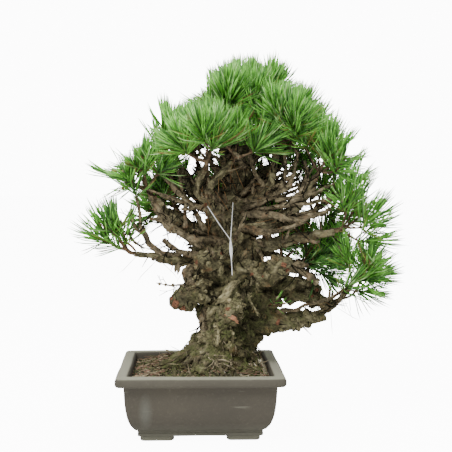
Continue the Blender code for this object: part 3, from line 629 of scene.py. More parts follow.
class Heap:
    """Points and triangles of many shapes of one kind, joined into one piece."""

    def __init__(self):
        self.points, self.faces, self.finishes, self.values = [], [], [], []
        self.count = 0

    def add(self, points, faces, finish=0, values=None):
        """Lays one more shape on the heap: finish is one slot number or one for each face."""
        self.points.append(points.reshape(-1, 3))
        self.faces.append(faces.reshape(-1, 3) + self.count)
        self.finishes.append(np.broadcast_to(finish, len(self.faces[-1])))
        size = len(self.points[-1])
        self.values.append(np.zeros((size, 2)) if values is None else values.reshape(size, 2))
        self.count += size

    def build(self, name, finishes, nodes=(), smooth=True, marks=()):
        """Makes the piece, moved to its place, riding with the plant, and standing for the solids named."""
        points = np.vstack(self.points) + HOME
        faces = np.vstack(self.faces).astype(np.int32)
        mesh = bpy.data.meshes.new(name)
        mesh.vertices.add(len(points))
        mesh.vertices.foreach_set("co", points.astype(np.float32).ravel())
        mesh.loops.add(faces.size)
        mesh.loops.foreach_set("vertex_index", faces.ravel())
        mesh.polygons.add(len(faces))
        mesh.polygons.foreach_set("loop_start", np.arange(0, faces.size, 3, dtype=np.int32))
        mesh.update(calc_edges=True)
        mesh.polygons.foreach_set("use_smooth", np.full(len(faces), smooth))
        for finish in finishes:
            mesh.materials.append(finish)
        mesh.polygons.foreach_set("material_index", np.concatenate(self.finishes).astype(np.int32))
        values = np.vstack(self.values)
        for column, mark in enumerate(marks):
            data = mesh.attributes.new(mark, "FLOAT", "POINT").data
            data.foreach_set("value", values[:, column].astype(np.float32))
        mesh.validate()
        piece = bpy.data.objects.new(name, mesh)
        bpy.context.scene.collection.objects.link(piece)
        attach(piece, "root")
        if nodes:
            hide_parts(*nodes)

    def build_bark(self, name, finishes, nodes=()):
        """Makes a piece of bark, with the two marks that its finish reads."""
        self.build(name, finishes, nodes, marks=("crest", "tone"))


def tube_faces(rings, sides):
    """Triangles of a tube of rings, closed at each end by a fan to a centre point after the rings."""
    row = np.arange(rings - 1)[:, None] * sides
    i = np.arange(sides)[None]
    j = (i + 1) % sides
    a, b, c, d = row + i, row + j, row + sides + j, row + sides + i
    skin = np.stack([a, b, c, a, c, d], axis=-1).reshape(-1, 3)
    i, j = i[0], j[0]
    start, end, last = rings * sides, rings * sides + 1, (rings - 1) * sides
    first_fan = np.stack([np.full(sides, start), j, i], axis=-1)
    last_fan = np.stack([np.full(sides, end), last + i, last + j], axis=-1)
    return np.vstack([skin, first_fan, last_fan])


def with_poles(loops, bulge=0.4):
    """The points of a tube's rings, then the centre of its first ring and a rounded point beyond its last."""
    start, end = loops[0].mean(0), loops[-1].mean(0)
    push = unit(end - loops[-2].mean(0)) * np.linalg.norm(loops[-1] - end, axis=1).mean() * bulge
    return np.vstack([loops.reshape(-1, 3), start, end + push])


def sweep(path, radius, along=None):
    """Rings round a path: centre plus radius times the cosine and sine of two vectors across the path."""
    along = unit(np.gradient(path, axis=0)) if along is None else along
    across, upward = side_frames(along)
    radius = np.atleast_2d(radius.T).T
    angle = round_angles(radius.shape[1])[..., None]
    ring = np.cos(angle) * across[:, None] + np.sin(angle) * upward[:, None]
    return path[:, None] + ring * radius[:, :, None], ring


def plain_tube(heap, path, radii, sides, finish=0, bulge=0.4):
    """A smooth closed tube with one radius for each point of its path."""
    loops, _ = sweep(path, np.repeat(radii[:, None], sides, axis=1))
    heap.add(with_poles(loops, bulge), tube_faces(len(path), sides), finish)


# Finishes


def put(tree, kind, inputs=None, **parts):
    """Adds a node, sets its parts, and links or sets each input named."""
    node = tree.nodes.new(kind)
    for name, value in parts.items():
        setattr(node, name, value)
    for name, value in (inputs or {}).items():
        socket = node.inputs[name]
        if isinstance(value, bpy.types.NodeSocket):
            tree.links.new(value, socket)
        else:
            socket.default_value = value
    return node


def rgba(colour, by=1.0):
    """A colour as four numbers, lightened or darkened by a factor."""
    return (*[min(1.0, c * by) for c in colour], 1.0)


def mix(tree, factor, first, second, how="MIX"):
    """The colour between two colours, or the second laid over the first in another way."""
    node = put(tree, "ShaderNodeMix", {0: factor, 6: first, 7: second}, data_type="RGBA", blend_type=how)
    return node.outputs[2]


def ramp(tree, factor, stops):
    """A colour ramp through the stops given as place and colour."""
    node = put(tree, "ShaderNodeValToRGB", {"Fac": factor})
    elements = node.color_ramp.elements
    while len(elements) < len(stops):
        elements.new(0.5)
    for element, (place, colour) in zip(elements, stops):
        element.position = place
        element.color = colour
    return node.outputs["Color"]


def levels(tree, value, low, high, first=0.0, last=1.0):
    """A number stretched from one range to another and held at its ends."""
    sockets = {"Value": value, "From Min": low, "From Max": high, "To Min": first, "To Max": last}
    return put(tree, "ShaderNodeMapRange", sockets).outputs["Result"]


def times(tree, first, second, how="MULTIPLY"):
    """The product of two numbers, or another sum of them."""
    return put(tree, "ShaderNodeMath", {0: first, 1: second}, operation=how).outputs[0]


def noise(tree, spot, scale, detail=4.0, roughness=0.55):
    """Cloudy noise, as a number."""
    sockets = {"Vector": spot, "Scale": scale, "Detail": detail, "Roughness": roughness}
    return put(tree, "ShaderNodeTexNoise", sockets).outputs["Fac"]


def cells(tree, spot, scale):
    """A pattern of cells: the distance from each cell's middle."""
    return put(tree, "ShaderNodeTexVoronoi", {"Vector": spot, "Scale": scale}).outputs["Distance"]


def crumbs(tree, spot, scale):
    """A random number for each cell of a pattern."""
    pattern = put(tree, "ShaderNodeTexVoronoi", {"Vector": spot, "Scale": scale}).outputs["Color"]
    return put(tree, "ShaderNodeSeparateColor", {"Color": pattern}).outputs[0]


def mark(tree, name):
    """A number that comes with the mesh."""
    return put(tree, "ShaderNodeAttribute", attribute_name=name).outputs["Fac"]


def upright(tree, vector):
    """The vector's part along Z."""
    return put(tree, "ShaderNodeSeparateXYZ", {"Vector": vector}).outputs["Z"]


def stretched(tree, spot, scale, rotation=(0.0, 0.0, 0.0)):
    """The coordinates scaled along each axis, after a turn."""
    sockets = {"Vector": spot, "Rotation": rotation, "Scale": scale}
    return put(tree, "ShaderNodeMapping", sockets).outputs[0]


def new_finish(name, roughness=0.8, specular=0.3):
    """A material with its Principled shader and Object coordinates."""
    made = bpy.data.materials.new(name)
    made.use_nodes = True
    tree = made.node_tree
    shader = tree.nodes["Principled BSDF"]
    shader.inputs["Roughness"].default_value = roughness
    shader.inputs["Specular IOR Level"].default_value = specular
    spot = put(tree, "ShaderNodeTexCoord").outputs["Object"]
    return made, tree, shader, spot


def wire(tree, shader, colour, roughness=None, height=None, distance=0.001, strength=0.6):
    """Joins a colour, a roughness and a bump height to the shader."""
    tree.links.new(colour, shader.inputs["Base Color"])
    if roughness is not None:
        tree.links.new(roughness, shader.inputs["Roughness"])
    if height is not None:
        sockets = {"Height": height, "Distance": distance, "Strength": strength}
        bump = put(tree, "ShaderNodeBump", sockets)
        tree.links.new(bump.outputs["Normal"], shader.inputs["Normal"])


def stoneware_finish():
    """Unglazed clay: grey brown cloudy walls, a paler weathered rim, a foot paler as painted light, a stain
    and scratches.
    """
    chosen = settings()
    made, tree, shader, spot = new_finish("weathered_stoneware", 0.72, 0.35)
    body, rim = chosen.pot_colour, chosen.rim_colour
    above = upright(tree, spot)
    cloud = noise(tree, spot, 9.0, 5.0, 0.6)
    colour = ramp(tree, cloud, [(0.3, rgba(body, 0.86)), (0.55, rgba(body, 1.0)), (0.8, rgba(body, 1.22))])
    fine = noise(tree, spot, 160.0, 3.0)
    colour = mix(tree, levels(tree, fine, 0.58, 0.8, 0.0, 0.22), colour, rgba((0.2, 0.18, 0.14)))
    # paler clay: a little on the rim's side and most on its top, as weathering, and near the foot as painted
    # light where the pot's low part stands in shade
    low = levels(tree, above, 0.046, 0.02, 0.0, 1.0)
    rim_wear_and_foot_light = times(tree, times(tree, mark(tree, "rim_side"), 0.22), times(tree, low, 0.85), "MAXIMUM")
    rim_wear_and_foot_light = times(tree, levels(tree, cloud, 0.3, 0.7, 0.6, 1.0), rim_wear_and_foot_light)
    colour = mix(tree, rim_wear_and_foot_light, colour, rgba(rim, 0.66))
    top = times(tree, mark(tree, "rim_top"), levels(tree, cloud, 0.2, 0.7, 0.7, 1.0))
    colour = mix(tree, top, colour, rgba(rim, 1.85))
    # painted light: the feet paler still, where they stand in shade over the floor
    colour = mix(tree, levels(tree, above, 0.014, 0.008, 0.0, 0.7), colour, rgba(rim, 1.1))
    # a pale stain on the wall, taller than wide
    streak = levels(tree, noise(tree, stretched(tree, spot, (16.0, 16.0, 7.0)), 1.0, 4.0, 0.6), 0.53, 0.68)
    home = (-HOME[0], -HOME[1], 0.0)
    away = put(tree, "ShaderNodeVectorMath", {0: spot, 1: home}, operation="ADD").outputs[0]
    squeezed = stretched(tree, away, (1.0, 0.0, STAIN_SQUEEZE))
    middle = (STAIN_PLACE[0], 0.0, STAIN_PLACE[1] * STAIN_SQUEEZE)
    far = put(tree, "ShaderNodeVectorMath", {0: squeezed, 1: middle}, operation="DISTANCE").outputs["Value"]
    stain = times(tree, levels(tree, far, 0.017, 0.004), levels(tree, streak, 0.0, 1.0, 0.35, 1.0))
    colour = mix(tree, times(tree, stain, 0.8), colour, rgba((0.23, 0.245, 0.21)))
    # a few thin pale scratches
    scored = stretched(tree, spot, (9.0, 9.0, 130.0), (0.0, 0.3, 0.2))
    scratch = levels(tree, noise(tree, scored, 1.0, 2.0, 0.4), 0.68, 0.74)
    patchy = levels(tree, noise(tree, spot, 14.0, 2.0), 0.52, 0.62)
    colour = mix(tree, times(tree, times(tree, scratch, patchy), 0.45), colour, rgba((0.26, 0.255, 0.20)))
    # faint thrown lines and grain
    lines = noise(tree, stretched(tree, spot, (3.0, 3.0, 240.0)), 1.0, 2.0)
    height = times(tree, times(tree, lines, 0.35), fine, "ADD")
    wire(tree, shader, colour, levels(tree, cloud, 0.2, 0.8, 0.62, 0.86), height, 0.0009, 0.5)
    return made


def bark_finish(name, colour, moss=0.0, rust=0.35, scale=1.0):
    """Corky bark: dark cracks deepened to black by painted shade, grey brown plates each of its own tone,
    rusty breaks, and moss low down.

    The share from crack to crest and each plate's tone, darkened where shade is painted, come with the mesh.
    """
    made, tree, shader, spot = new_finish(name, 0.92, 0.15)
    grain = noise(tree, spot, 170.0 * scale, 5.0, 0.75)
    blotch = noise(tree, spot, 24.0 * scale, 4.0)
    level = times(tree, mark(tree, "crest"), times(tree, grain, 0.6), "ADD")
    level = times(tree, level, times(tree, crumbs(tree, spot, 240.0), 0.22), "ADD")
    # painted shade: the ramp runs from near black in the cracks to light on the crests, over the bark's own
    # darker furrows
    shade = ramp(tree, levels(tree, level, 0.28, 1.45), [
        (0.0, rgba(colour, 0.12)), (0.2, rgba(colour, 0.3)), (0.45, rgba(colour, 0.66)),
        (0.72, rgba(colour, 1.1)), (1.0, rgba(colour, 1.8)),
    ])
    # each plate's own tone, running to a dark grey green where shade is painted into it
    tone = ramp(tree, mark(tree, "tone"), [
        (0.0, (0.16, 0.17, 0.12, 1)), (0.35, (0.6, 0.57, 0.5, 1)), (0.65, (0.95, 0.93, 0.86, 1)),
        (1.0, (1.0, 1.0, 1.0, 1)),
    ])
    shade = mix(tree, 1.0, shade, tone, "MULTIPLY")
    rusty = times(tree, levels(tree, blotch, 0.56, 0.7), levels(tree, level, 0.45, 0.8))
    shade = mix(tree, times(tree, rusty, rust), shade, (0.30, 0.115, 0.045, 1))
    if moss:
        facing = upright(tree, put(tree, "ShaderNodeNewGeometry").outputs["Normal"])
        damp = levels(tree, upright(tree, spot), 0.46, 0.24)
        patch = levels(tree, noise(tree, spot, 38.0, 5.0, 0.7), 0.42, 0.62)
        green = times(tree, times(tree, damp, patch), levels(tree, facing, -0.5, 0.5, 0.35, 1.0))
        green = times(tree, times(tree, green, moss), levels(tree, level, 0.15, 0.6))
        leaf = settings().moss_colour
        mossy = ramp(tree, grain, [(0.3, rgba(leaf, 0.45)), (0.7, rgba(leaf, 1.25))])
        shade = mix(tree, green, shade, mossy)
    height = times(tree, times(tree, grain, 0.8), times(tree, cells(tree, spot, 260.0 * scale), 0.7), "ADD")
    wire(tree, shader, shade, None, height, 0.0035, 0.9)
    return made


def wood_finish(name, colour, scale=300.0):
    """Bare, broken or cut wood: a warm colour with fibres."""
    made, tree, shader, spot = new_finish(name, 0.8, 0.2)
    fibre = noise(tree, spot, scale, 4.0, 0.6)
    stops = [(0.34, rgba(colour, 0.22)), (0.52, rgba(colour, 0.9)), (0.7, rgba(colour, 1.5))]
    shade = ramp(tree, fibre, stops)
    wire(tree, shader, shade, None, fibre, 0.0008, 0.6)
    return made


def needle_finish(name, colour, roughness=0.42):
    """A needle: one plain colour, a little lighter and darker along it, with a soft gloss."""
    made, tree, shader, spot = new_finish(name, roughness, 0.22)
    cloud = noise(tree, spot, 90.0, 3.0)
    shade = ramp(tree, cloud, [(0.32, rgba(colour, 0.62)), (0.68, rgba(colour, 1.3))])
    rough = levels(tree, cloud, 0.2, 0.8, roughness - 0.06, roughness + 0.1)
    wire(tree, shader, shade, rough, noise(tree, spot, 900.0, 1.0), 0.0001, 0.3)
    return made


def ground_finish():
    """Soil: dark damp crumbs, brown litter between them, and patches of moss."""
    made, tree, shader, spot = new_finish("damp_soil", 0.95, 0.1)
    shade = ramp(tree, crumbs(tree, spot, 210.0), [
        (0.0, (0.014, 0.015, 0.009, 1)), (0.5, (0.045, 0.042, 0.026, 1)), (0.88, (0.11, 0.095, 0.06, 1)),
        (1.0, (0.34, 0.31, 0.22, 1)),
    ])
    green = levels(tree, noise(tree, spot, 30.0, 5.0, 0.65), 0.47, 0.6, 0.0, 0.8)
    shade = mix(tree, green, shade, rgba(settings().moss_colour, 0.6))
    height = times(tree, cells(tree, spot, 210.0), noise(tree, spot, 500.0, 3.0), "ADD")
    wire(tree, shader, shade, None, height, 0.002, 0.9)
    return made


def speck_finish(name, colour, scale=400.0, roughness=0.9):
    """Small crumbs, chips, moss, buds or string: one colour with grain."""
    made, tree, shader, spot = new_finish(name, roughness, 0.2)
    grain = noise(tree, spot, scale, 3.0, 0.6)
    shade = ramp(tree, grain, [(0.3, rgba(colour, 0.7)), (0.7, rgba(colour, 1.2))])
    wire(tree, shader, shade, None, grain, 0.0006, 0.6)
    return made


def specks(colours, scale=400.0):
    """One finish of crumbs for each name and colour."""
    return [speck_finish(name, colour, scale) for name, colour in colours.items()]


# Pot


def rounded_profile(points, steps=4):
    """A profile with each corner drawn as a small curve: a quadratic between points on its two edges."""
    rows = np.array(points, float)
    places = rows[:, :2]
    out = [places[:1]]
    for before, corner, after, soft in zip(places[:-2], places[1:-1], places[2:], rows[1:-1, 2]):
        back, ahead = before - corner, after - corner
        first = corner + back * min(0.48, soft / np.linalg.norm(back))
        last = corner + ahead * min(0.48, soft / np.linalg.norm(ahead))
        t = even_shares(steps)
        out.append((1 - t) ** 2 * first + 2 * t * (1 - t) * corner + t**2 * last)
    return np.vstack(out + [places[-1:]])


def pot_loop(inset, height, corner_steps=6, side_points=12, centre=(0.0, 0.0), size=None):
    """One loop of the pot: a rectangle taken in by the inset, with a quarter circle at each corner."""
    size = (POT_LENGTH, POT_WIDTH) if size is None else size
    half = np.array(size) / 2 - inset
    radius = max(CORNER_LEAST, POT_CORNER - inset * 0.4)
    turn = even_shares(corner_steps + 1) * math.pi / 2
    corners = []
    for quarter, sign in enumerate(((1, 1), (-1, 1), (-1, -1), (1, -1))):
        angle = turn + quarter * math.pi / 2
        corners.append(np.array(sign) * (half - radius) + radius * np.hstack([np.cos(angle), np.sin(angle)]))
    shares = np.linspace(0, 1, side_points + 2)[1:-1, None]
    loop = []
    for corner, after in zip(corners, corners[1:] + corners[:1]):
        loop += [corner, corner[-1] + (after[0] - corner[-1]) * shares]
    loop = np.vstack(loop) + np.array(centre)
    return np.column_stack([loop, np.full(len(loop), height)])


class PINE_OT_pot(bpy.types.Operator):
    """Runs the pot's rounded profile round its rectangle, uneven as pressed clay is, on four feet"""

    bl_idname = "pine.pot"
    bl_label = "Pot"

    def execute(self, context):
        heap = Heap()
        profile = rounded_profile(POT_OUTSIDE + POT_INSIDE)
        loops = np.array([pot_loop(inset * MM, height * MM) for inset, height in profile])
        outward = unit(loops * (1, 1, 0) + 1e-9)
        loops = loops + outward * soft_noise(loops, 70 * MM, 301)[..., None] * 1.1 * MM
        loops = loops + outward * soft_noise(loops, 14 * MM, 302)[..., None] * 0.25 * MM
        sag = soft_noise(loops * (1, 1, 0.2), 90 * MM, 303) * 0.9 * MM
        loops[..., 2] += sag * np.clip((loops[..., 2] - 0.1) / 0.05, 0, 1)
        inset, height = profile[:, 0], profile[:, 1]
        outer = np.arange(len(profile)) <= np.argmax(height)
        rim_side = np.clip((height - 126) / 6, 0, 1) * (inset < 20) * outer
        rim_top = np.clip((height - 147.5) / 2, 0, 1) * np.clip((25 - inset) / 2, 0, 1)
        marks = np.repeat(np.stack([rim_side, rim_top], axis=-1), loops.shape[1], axis=0)
        marks = np.vstack([marks, [[0, 0], [0, 0]]])
        heap.add(with_poles(loops, 0.0), tube_faces(loops.shape[0], loops.shape[1]), 0, marks)
        foot = rounded_profile(FOOT_OUTSIDE)
        outer = np.array([POT_LENGTH, POT_WIDTH]) / 2 - FOOT_INSET
        middle = outer - np.array([FOOT_LENGTH, FOOT_DEPTH]) / 2
        for side in ((1, 1), (-1, 1), (-1, -1), (1, -1)):
            loops = np.array([
                pot_loop(inset * MM, height * MM, 4, 4, middle * side, (FOOT_LENGTH, FOOT_DEPTH))
                for inset, height in foot
            ])
            heap.add(with_poles(loops, 0.0), tube_faces(loops.shape[0], loops.shape[1]))
        marks = ("rim_side", "rim_top")
        heap.build("stoneware_pot", [stoneware_finish()], ["pot"], marks=marks)
        return {"FINISHED"}


# Soil and what lies on it


EDGE_LOOP = pot_loop(SOIL_INSET, SOIL_EDGE, 5, 16)


def ground(around, share, depth=0.0):
    """Points on the soil: from its edge at share 0 straight in to the mound's top at share 1, and beyond.

    The height is a smooth step from the edge's height to the mound's, with noise of three sizes on it.
    """
    around = np.asarray(around) % 1.0
    place = around * len(EDGE_LOOP)
    low = place.astype(int) % len(EDGE_LOOP)
    part = (place - np.floor(place))[..., None]
    edge = EDGE_LOOP[low] * (1 - part) + EDGE_LOOP[(low + 1) % len(EDGE_LOOP)] * part
    angle = np.arctan2(edge[..., 1] - MOUND_CENTRE[1], edge[..., 0] - MOUND_CENTRE[0])
    top = MOUND_CENTRE + MOUND_RADII * np.stack([np.cos(angle), np.sin(angle)], axis=-1)
    share = np.asarray(share)[..., None]
    plan = np.where(share <= 1, edge[..., :2] + (top - edge[..., :2]) * share,
                    MOUND_CENTRE + (top - MOUND_CENTRE) * (2 - share))
    s = np.clip(share[..., 0], 0, 1)
    height = SOIL_EDGE - 3 * MM + (SOIL_TOP - SOIL_EDGE + 3 * MM) * s * s * (3 - 2 * s)
    flat = np.concatenate([plan, np.zeros_like(plan[..., :1])], axis=-1)
    rough = soft_noise(flat, 34 * MM, 311) * 3.4 * MM + soft_noise(flat, 13 * MM, 312) * 2.0 * MM
    rough = rough + soft_noise(flat, 5 * MM, 313) * 0.9 * MM
    edge_calm = np.clip(s * 12, 0.25, 1)
    return np.concatenate([plan, (height + rough * edge_calm - depth)[..., None]], axis=-1)


def scattered(rng, count, near=0.0, far=1.1):
    """Random places on the soil, evenly over its plan, with the rise between two shares."""
    around = rng.uniform(0, 1, count)
    share = near + (far - near) * rng.uniform(0, 1, count)
    return around, share


def random_frames(rng, count, flat=0.0):
    """Three unit vectors across each other for each of many small things, lying down as far as flat says."""
    normal = unit(rng.normal(size=(count, 3)) * (1 - flat) + UP * flat * 2)
    first = unit(np.cross(normal, rng.normal(size=(count, 3))))
    return first, np.cross(normal, first), normal


STONE_POINTS = unit(np.array([
    (0, 0, 1), (0.9, 0, 0.4), (0.3, 0.85, 0.4), (-0.7, 0.5, 0.4), (-0.7, -0.5, 0.4), (0.3, -0.85, 0.4),
    (0.7, 0.5, -0.4), (-0.3, 0.85, -0.4), (-0.9, 0, -0.4), (-0.3, -0.85, -0.4), (0.7, -0.5, -0.4), (0, 0, -1),
], float))
STONE_FACES = np.array(
    [(0, 1 + i, 1 + (i + 1) % 5) for i in range(5)]
    + [(1 + i, 6 + i, 1 + (i + 1) % 5) for i in range(5)]
    + [(6 + i, 6 + (i + 1) % 5, 1 + (i + 1) % 5) for i in range(5)]
    + [(11, 6 + (i + 1) % 5, 6 + i) for i in range(5)]
)


def scatter_stones(heap, rng, places, low, high, flat, thin, finishes):
    """Many small stones or chips: a rough ball of 20 faces, stretched by its own three sizes and turned."""
    count = len(places)
    first, second, normal = random_frames(rng, count, flat)
    size = rng.uniform(low, high, count)[:, None, None] * MM
    shape = STONE_POINTS * rng.uniform(0.75, 1.25, (count, 12, 1))
    sizes = [rng.uniform(0.8, 1.3, count), rng.uniform(0.5, 1.0, count), np.full(count, thin)]
    shape = shape * np.stack(sizes, axis=-1)[:, None] * size / 2
    points = shape[..., :1] * first[:, None] + shape[..., 1:2] * second[:, None]
    points = points + shape[..., 2:] * normal[:, None] + places[:, None]
    faces = STONE_FACES[None] + np.arange(count)[:, None, None] * 12
    kinds = rng.choice(len(finishes), count, p=finishes)
    heap.add(points, faces, np.repeat(kinds, len(STONE_FACES)))


BLADE_FULL = 0.72  # the share of a needle's length that has its full width
BLADE_FOOT = 0.85  # its width at the foot, by its full width
BLADE_FACES = np.array([
    (0, 1, 4), (0, 4, 3), (1, 2, 5), (1, 5, 4), (2, 0, 3), (2, 3, 5), (3, 4, 6), (4, 5, 6), (5, 3, 6),
    (0, 2, 1),
])


def blades(heap, base, way, bend, length, radius, finish):
    """Many needles: each a three-sided rod that keeps its width for most of its length, then runs to a tip.

    The last full ring lies at a share of the length along a half bent way, and the tip beyond it, bent on.
    """
    count = len(base)
    length = np.broadcast_to(length, count)[:, None]
    middle = base + unit(way + bend * 0.4) * length * BLADE_FULL
    tip = middle + unit(way + bend * 1.2) * length * (1 - BLADE_FULL)
    across = unit(np.cross(way, UP + np.array([0.013, 0.007, 0.0])))
    upward = np.cross(way, across)
    angle = round_angles(3)[..., None]
    ring = np.cos(angle) * across[:, None] + np.sin(angle) * upward[:, None]
    thick = ring * np.broadcast_to(radius, count)[:, None, None]
    rings = [base[:, None] + thick * BLADE_FOOT, middle[:, None] + thick, tip[:, None]]
    points = np.concatenate(rings, axis=1)
    faces = BLADE_FACES[None] + np.arange(count)[:, None, None] * 7
    heap.add(points, faces, np.repeat(np.broadcast_to(finish, count), len(BLADE_FACES)))


SOIL_SIDES = 240
GRIT, PALE_GRIT = 2000, 900
PALE_GRIT_LOW, PALE_GRIT_HIGH = (60, -60), (148, 34)  # corners of the plan where more pale grit lies, in mm
CHIPS, LEFT_CHIPS = 240, 90
LITTER = 650
MOSS_BLADES = 9000


class PINE_OT_soil(bpy.types.Operator):
    """Fills the pot with uneven soil that rises to a mound, and lays grit, chips, needles and moss on it"""

    bl_idname = "pine.soil"
    bl_label = "Soil and ground cover"

    def execute(self, context):
        heap = Heap()
        around = np.arange(SOIL_SIDES) / SOIL_SIDES
        low = pot_loop(55 * MM + CLEAR, POT_FLOOR + CLEAR, 5, 16)
        shares = np.concatenate([np.linspace(0, 1, 56), np.linspace(1.05, 1.6, 8)])
        loops = np.array([ground(around, np.full(SOIL_SIDES, share)) for share in shares])
        index = np.arange(SOIL_SIDES) * len(low) // SOIL_SIDES
        wall = EDGE_LOOP[index] * (1, 1, 0) + UP * (SOIL_EDGE - 25 * MM)
        loops = np.concatenate([[low[index]], [wall], loops])
        heap.add(with_poles(loops, 0.0), tube_faces(len(loops), SOIL_SIDES))
        heap.build("soil_ground", [ground_finish()], ["soil"])

        rng = np.random.default_rng(7001)
        grit = Heap()
        shares = [0.07, 0.18, 0.5, 0.25]
        scatter_stones(grit, rng, ground(*scattered(rng, GRIT)), 2.0, 5.0, 0.2, 0.8, shares)
        # more pale grit to the front right
        sides = zip(PALE_GRIT_LOW, PALE_GRIT_HIGH)
        plan = np.column_stack([rng.uniform(low, high, PALE_GRIT) for low, high in sides]) * MM
        spots = np.column_stack([plan, soil_height(plan) + 4 * MM])
        scatter_stones(grit, rng, spots, 2.0, 5.5, 0.2, 0.8, [0.5, 0.38, 0.08, 0.04])
        finishes = specks({
            "grit_pale": (0.72, 0.67, 0.52), "grit_tan": (0.50, 0.41, 0.25), "grit_dark": (0.14, 0.12, 0.08),
            "grit_rusty": (0.26, 0.18, 0.12),
        })
        grit.build("soil_grit", finishes, smooth=False)

        chips = Heap()
        spots = ground(*scattered(rng, CHIPS, 0.0, 1.0), -1.5 * MM)
        scatter_stones(chips, rng, spots, 5.0, 12.0, 0.75, 0.22, [0.5, 0.3, 0.2])
        spots = ground(rng.uniform(0.25, 0.62, LEFT_CHIPS), rng.uniform(0.0, 0.6, LEFT_CHIPS), -2 * MM)
        scatter_stones(chips, rng, spots, 6.0, 14.0, 0.7, 0.2, [0.75, 0.15, 0.1])
        finishes = specks({
            "chips_red_brown": (0.25, 0.15, 0.10), "chips_tan": (0.40, 0.31, 0.20),
            "chips_dark": (0.13, 0.10, 0.07),
        })
        chips.build("bark_chips", finishes, smooth=False)

        litter = Heap()
        base = ground(*scattered(rng, LITTER, 0.0, 1.0), -2.5 * MM)
        turn = rng.uniform(0, 2 * math.pi, LITTER)
        way = unit(np.stack([np.cos(turn), np.sin(turn), rng.uniform(-0.05, 0.34, LITTER)], axis=-1))
        inward = base + way * 55 * MM
        limit = np.array([POT_LENGTH, POT_WIDTH]) / 2 - 30 * MM
        way[..., :2] = np.where(np.abs(inward[:, :2]) > limit, -way[..., :2], way[..., :2])
        bend = rng.normal(size=(LITTER, 3)) * 0.22 - UP * 0.12
        kinds = rng.choice(3, LITTER, p=[0.5, 0.25, 0.25])
        blades(litter, base, way, bend, rng.uniform(22, 56, LITTER) * MM, 0.8 * MM, kinds)
        finishes = specks({
            "litter_brown": (0.27, 0.175, 0.115), "litter_straw": (0.55, 0.46, 0.30),
            "litter_olive": (0.19, 0.19, 0.095),
        }, 200.0)
        litter.build("needle_litter", finishes)

        moss = Heap()
        around, share = scattered(rng, MOSS_BLADES, 0.05, 1.12)
        base = ground(around, share, 1 * MM)
        thick = soft_noise(base * (1, 1, 0), 22 * MM, 411) + share * 0.5
        base = base[thick > 0.28]
        way = unit(rng.normal(size=base.shape) * 0.5 + UP)
        length = rng.uniform(2.5, 6.0, len(base)) * MM
        blades(moss, base, way, way * 0, length, 0.7 * MM, rng.choice(2, len(base)))
        finishes = specks({"moss_light": (0.17, 0.21, 0.06), "moss_dark": (0.10, 0.125, 0.045)})
        moss.build("moss", finishes)
        return {"FINISHED"}


# Bark


def bark_relief(points, unrolled, thickness, plate, depth):
    """How far the bark stands out at each point, its share from crack to crest, and its plate's own number.

    Plates, furrows where a slow noise passes through zero, small plates, three finer noises and a slow swell
    are added up, over the place and over the bark as if unrolled. Hollows sink where they are listed.
    """
    drift = soft_drift(unrolled, plate * 1.2, 60) * plate * 0.55
    large, number = plates(unrolled + drift, plate, 11)
    small, other = plates(unrolled + drift, plate * 0.36, 23)
    furrow = np.clip(np.abs(soft_noise(unrolled + drift, plate * 1.7, 71)) * 3.4, 0, 1)
    finer = ((0.8, 0.5), (0.33, 0.3), (0.14, 0.2))
    rough = sum(soft_noise(unrolled, plate * size, 41) * part for size, part in finer)
    crest = large**0.8 * (0.35 + 0.65 * number) * (0.3 + 0.7 * furrow)
    crest = np.clip(0.52 * crest + 0.24 * small * (0.4 + 0.6 * other) + 0.42 * rough, -0.15, 1)
    strength = np.clip(thickness / SWELL_THICKNESS, 0.14, 1.0)
    swell = soft_noise(points, SWELL_SIZE, 31) + 0.6 * soft_noise(points, SWELL_SIZE / 2, 33)
    out = strength * (depth * (crest - 0.36) + swell * SWELL_DEPTH)
    # pits at random, none on thin limbs; the crest share drops in them, which paints shade there
    pit = np.clip(soft_noise(points, PIT_SIZE, 37) * 2.2 - 0.55, 0, 1) * np.clip(thickness / (30 * MM), 0, 1)
    out = out - pit * PIT_DEPTH
    crest = crest * (1 - 0.7 * pit)
    # the listed hollows sink, and the crest share drops in them, which paints shade there
    for centre, radius, deep in HOLLOWS:
        far = np.linalg.norm(points - np.array(centre) * MM, axis=-1) / (radius * MM)
        sunk = np.exp(-(far**2)) * np.clip(thickness / (25 * MM), 0, 1)
        out = out - sunk * deep * MM
        crest = crest * (1 - 0.9 * sunk) - 0.12 * sunk
    return out, crest, number * 0.6 + other * 0.4


# Painted shade on the bark, in places the photograph shows dark: pixel across and down, radius in pixels,
# share lost
PAINTED_SHADE = [
    (264, 308, 20, 0.75), (256, 334, 22, 0.7), (270, 288, 14, 0.6), (217, 284, 9, 0.9), (229, 266, 9, 0.9),
    (204, 270, 8, 0.6), (242, 332, 16, 0.5), (286, 302, 16, 0.5), (238, 356, 22, 0.7), (262, 356, 18, 0.6),
    (218, 344, 12, 0.4), (199, 306, 10, 0.6), (240, 288, 8, 0.6), (262, 268, 8, 0.6), (246, 236, 14, 0.5),
    (214, 236, 12, 0.4), (273, 340, 14, 0.5), (232, 330, 10, 0.4), (188, 262, 8, 0.5), (240, 180, 22, 0.35),
    (210, 190, 16, 0.35), (270, 190, 16, 0.25), (206, 244, 8, 0.6),
]


def on_photo(points):
    """Where points are seen in the photograph's frame: pixels across and pixels down."""
    right, up, forward = sight_lines(CAMERA_YAW, CAMERA_PITCH, CAMERA_ROLL)
    away = points - CAMERA_PLACE
    scale = CAMERA_LENS / SENSOR_WIDTH * FRAME_PIXELS / (away @ forward)
    return FRAME_PIXELS / 2 + away @ right * scale, FRAME_PIXELS / 2 - away @ up * scale


def shading(points):
    """The share of light left at points: less in each shaded place, by a fall that is even over its rim."""
    across, down = on_photo(points)
    left = np.ones(across.shape)
    for x, y, reach, share in PAINTED_SHADE:
        left *= 1 - share * np.clip(1.25 - np.hypot(across - x, down - y) / reach, 0, 1)
    return left


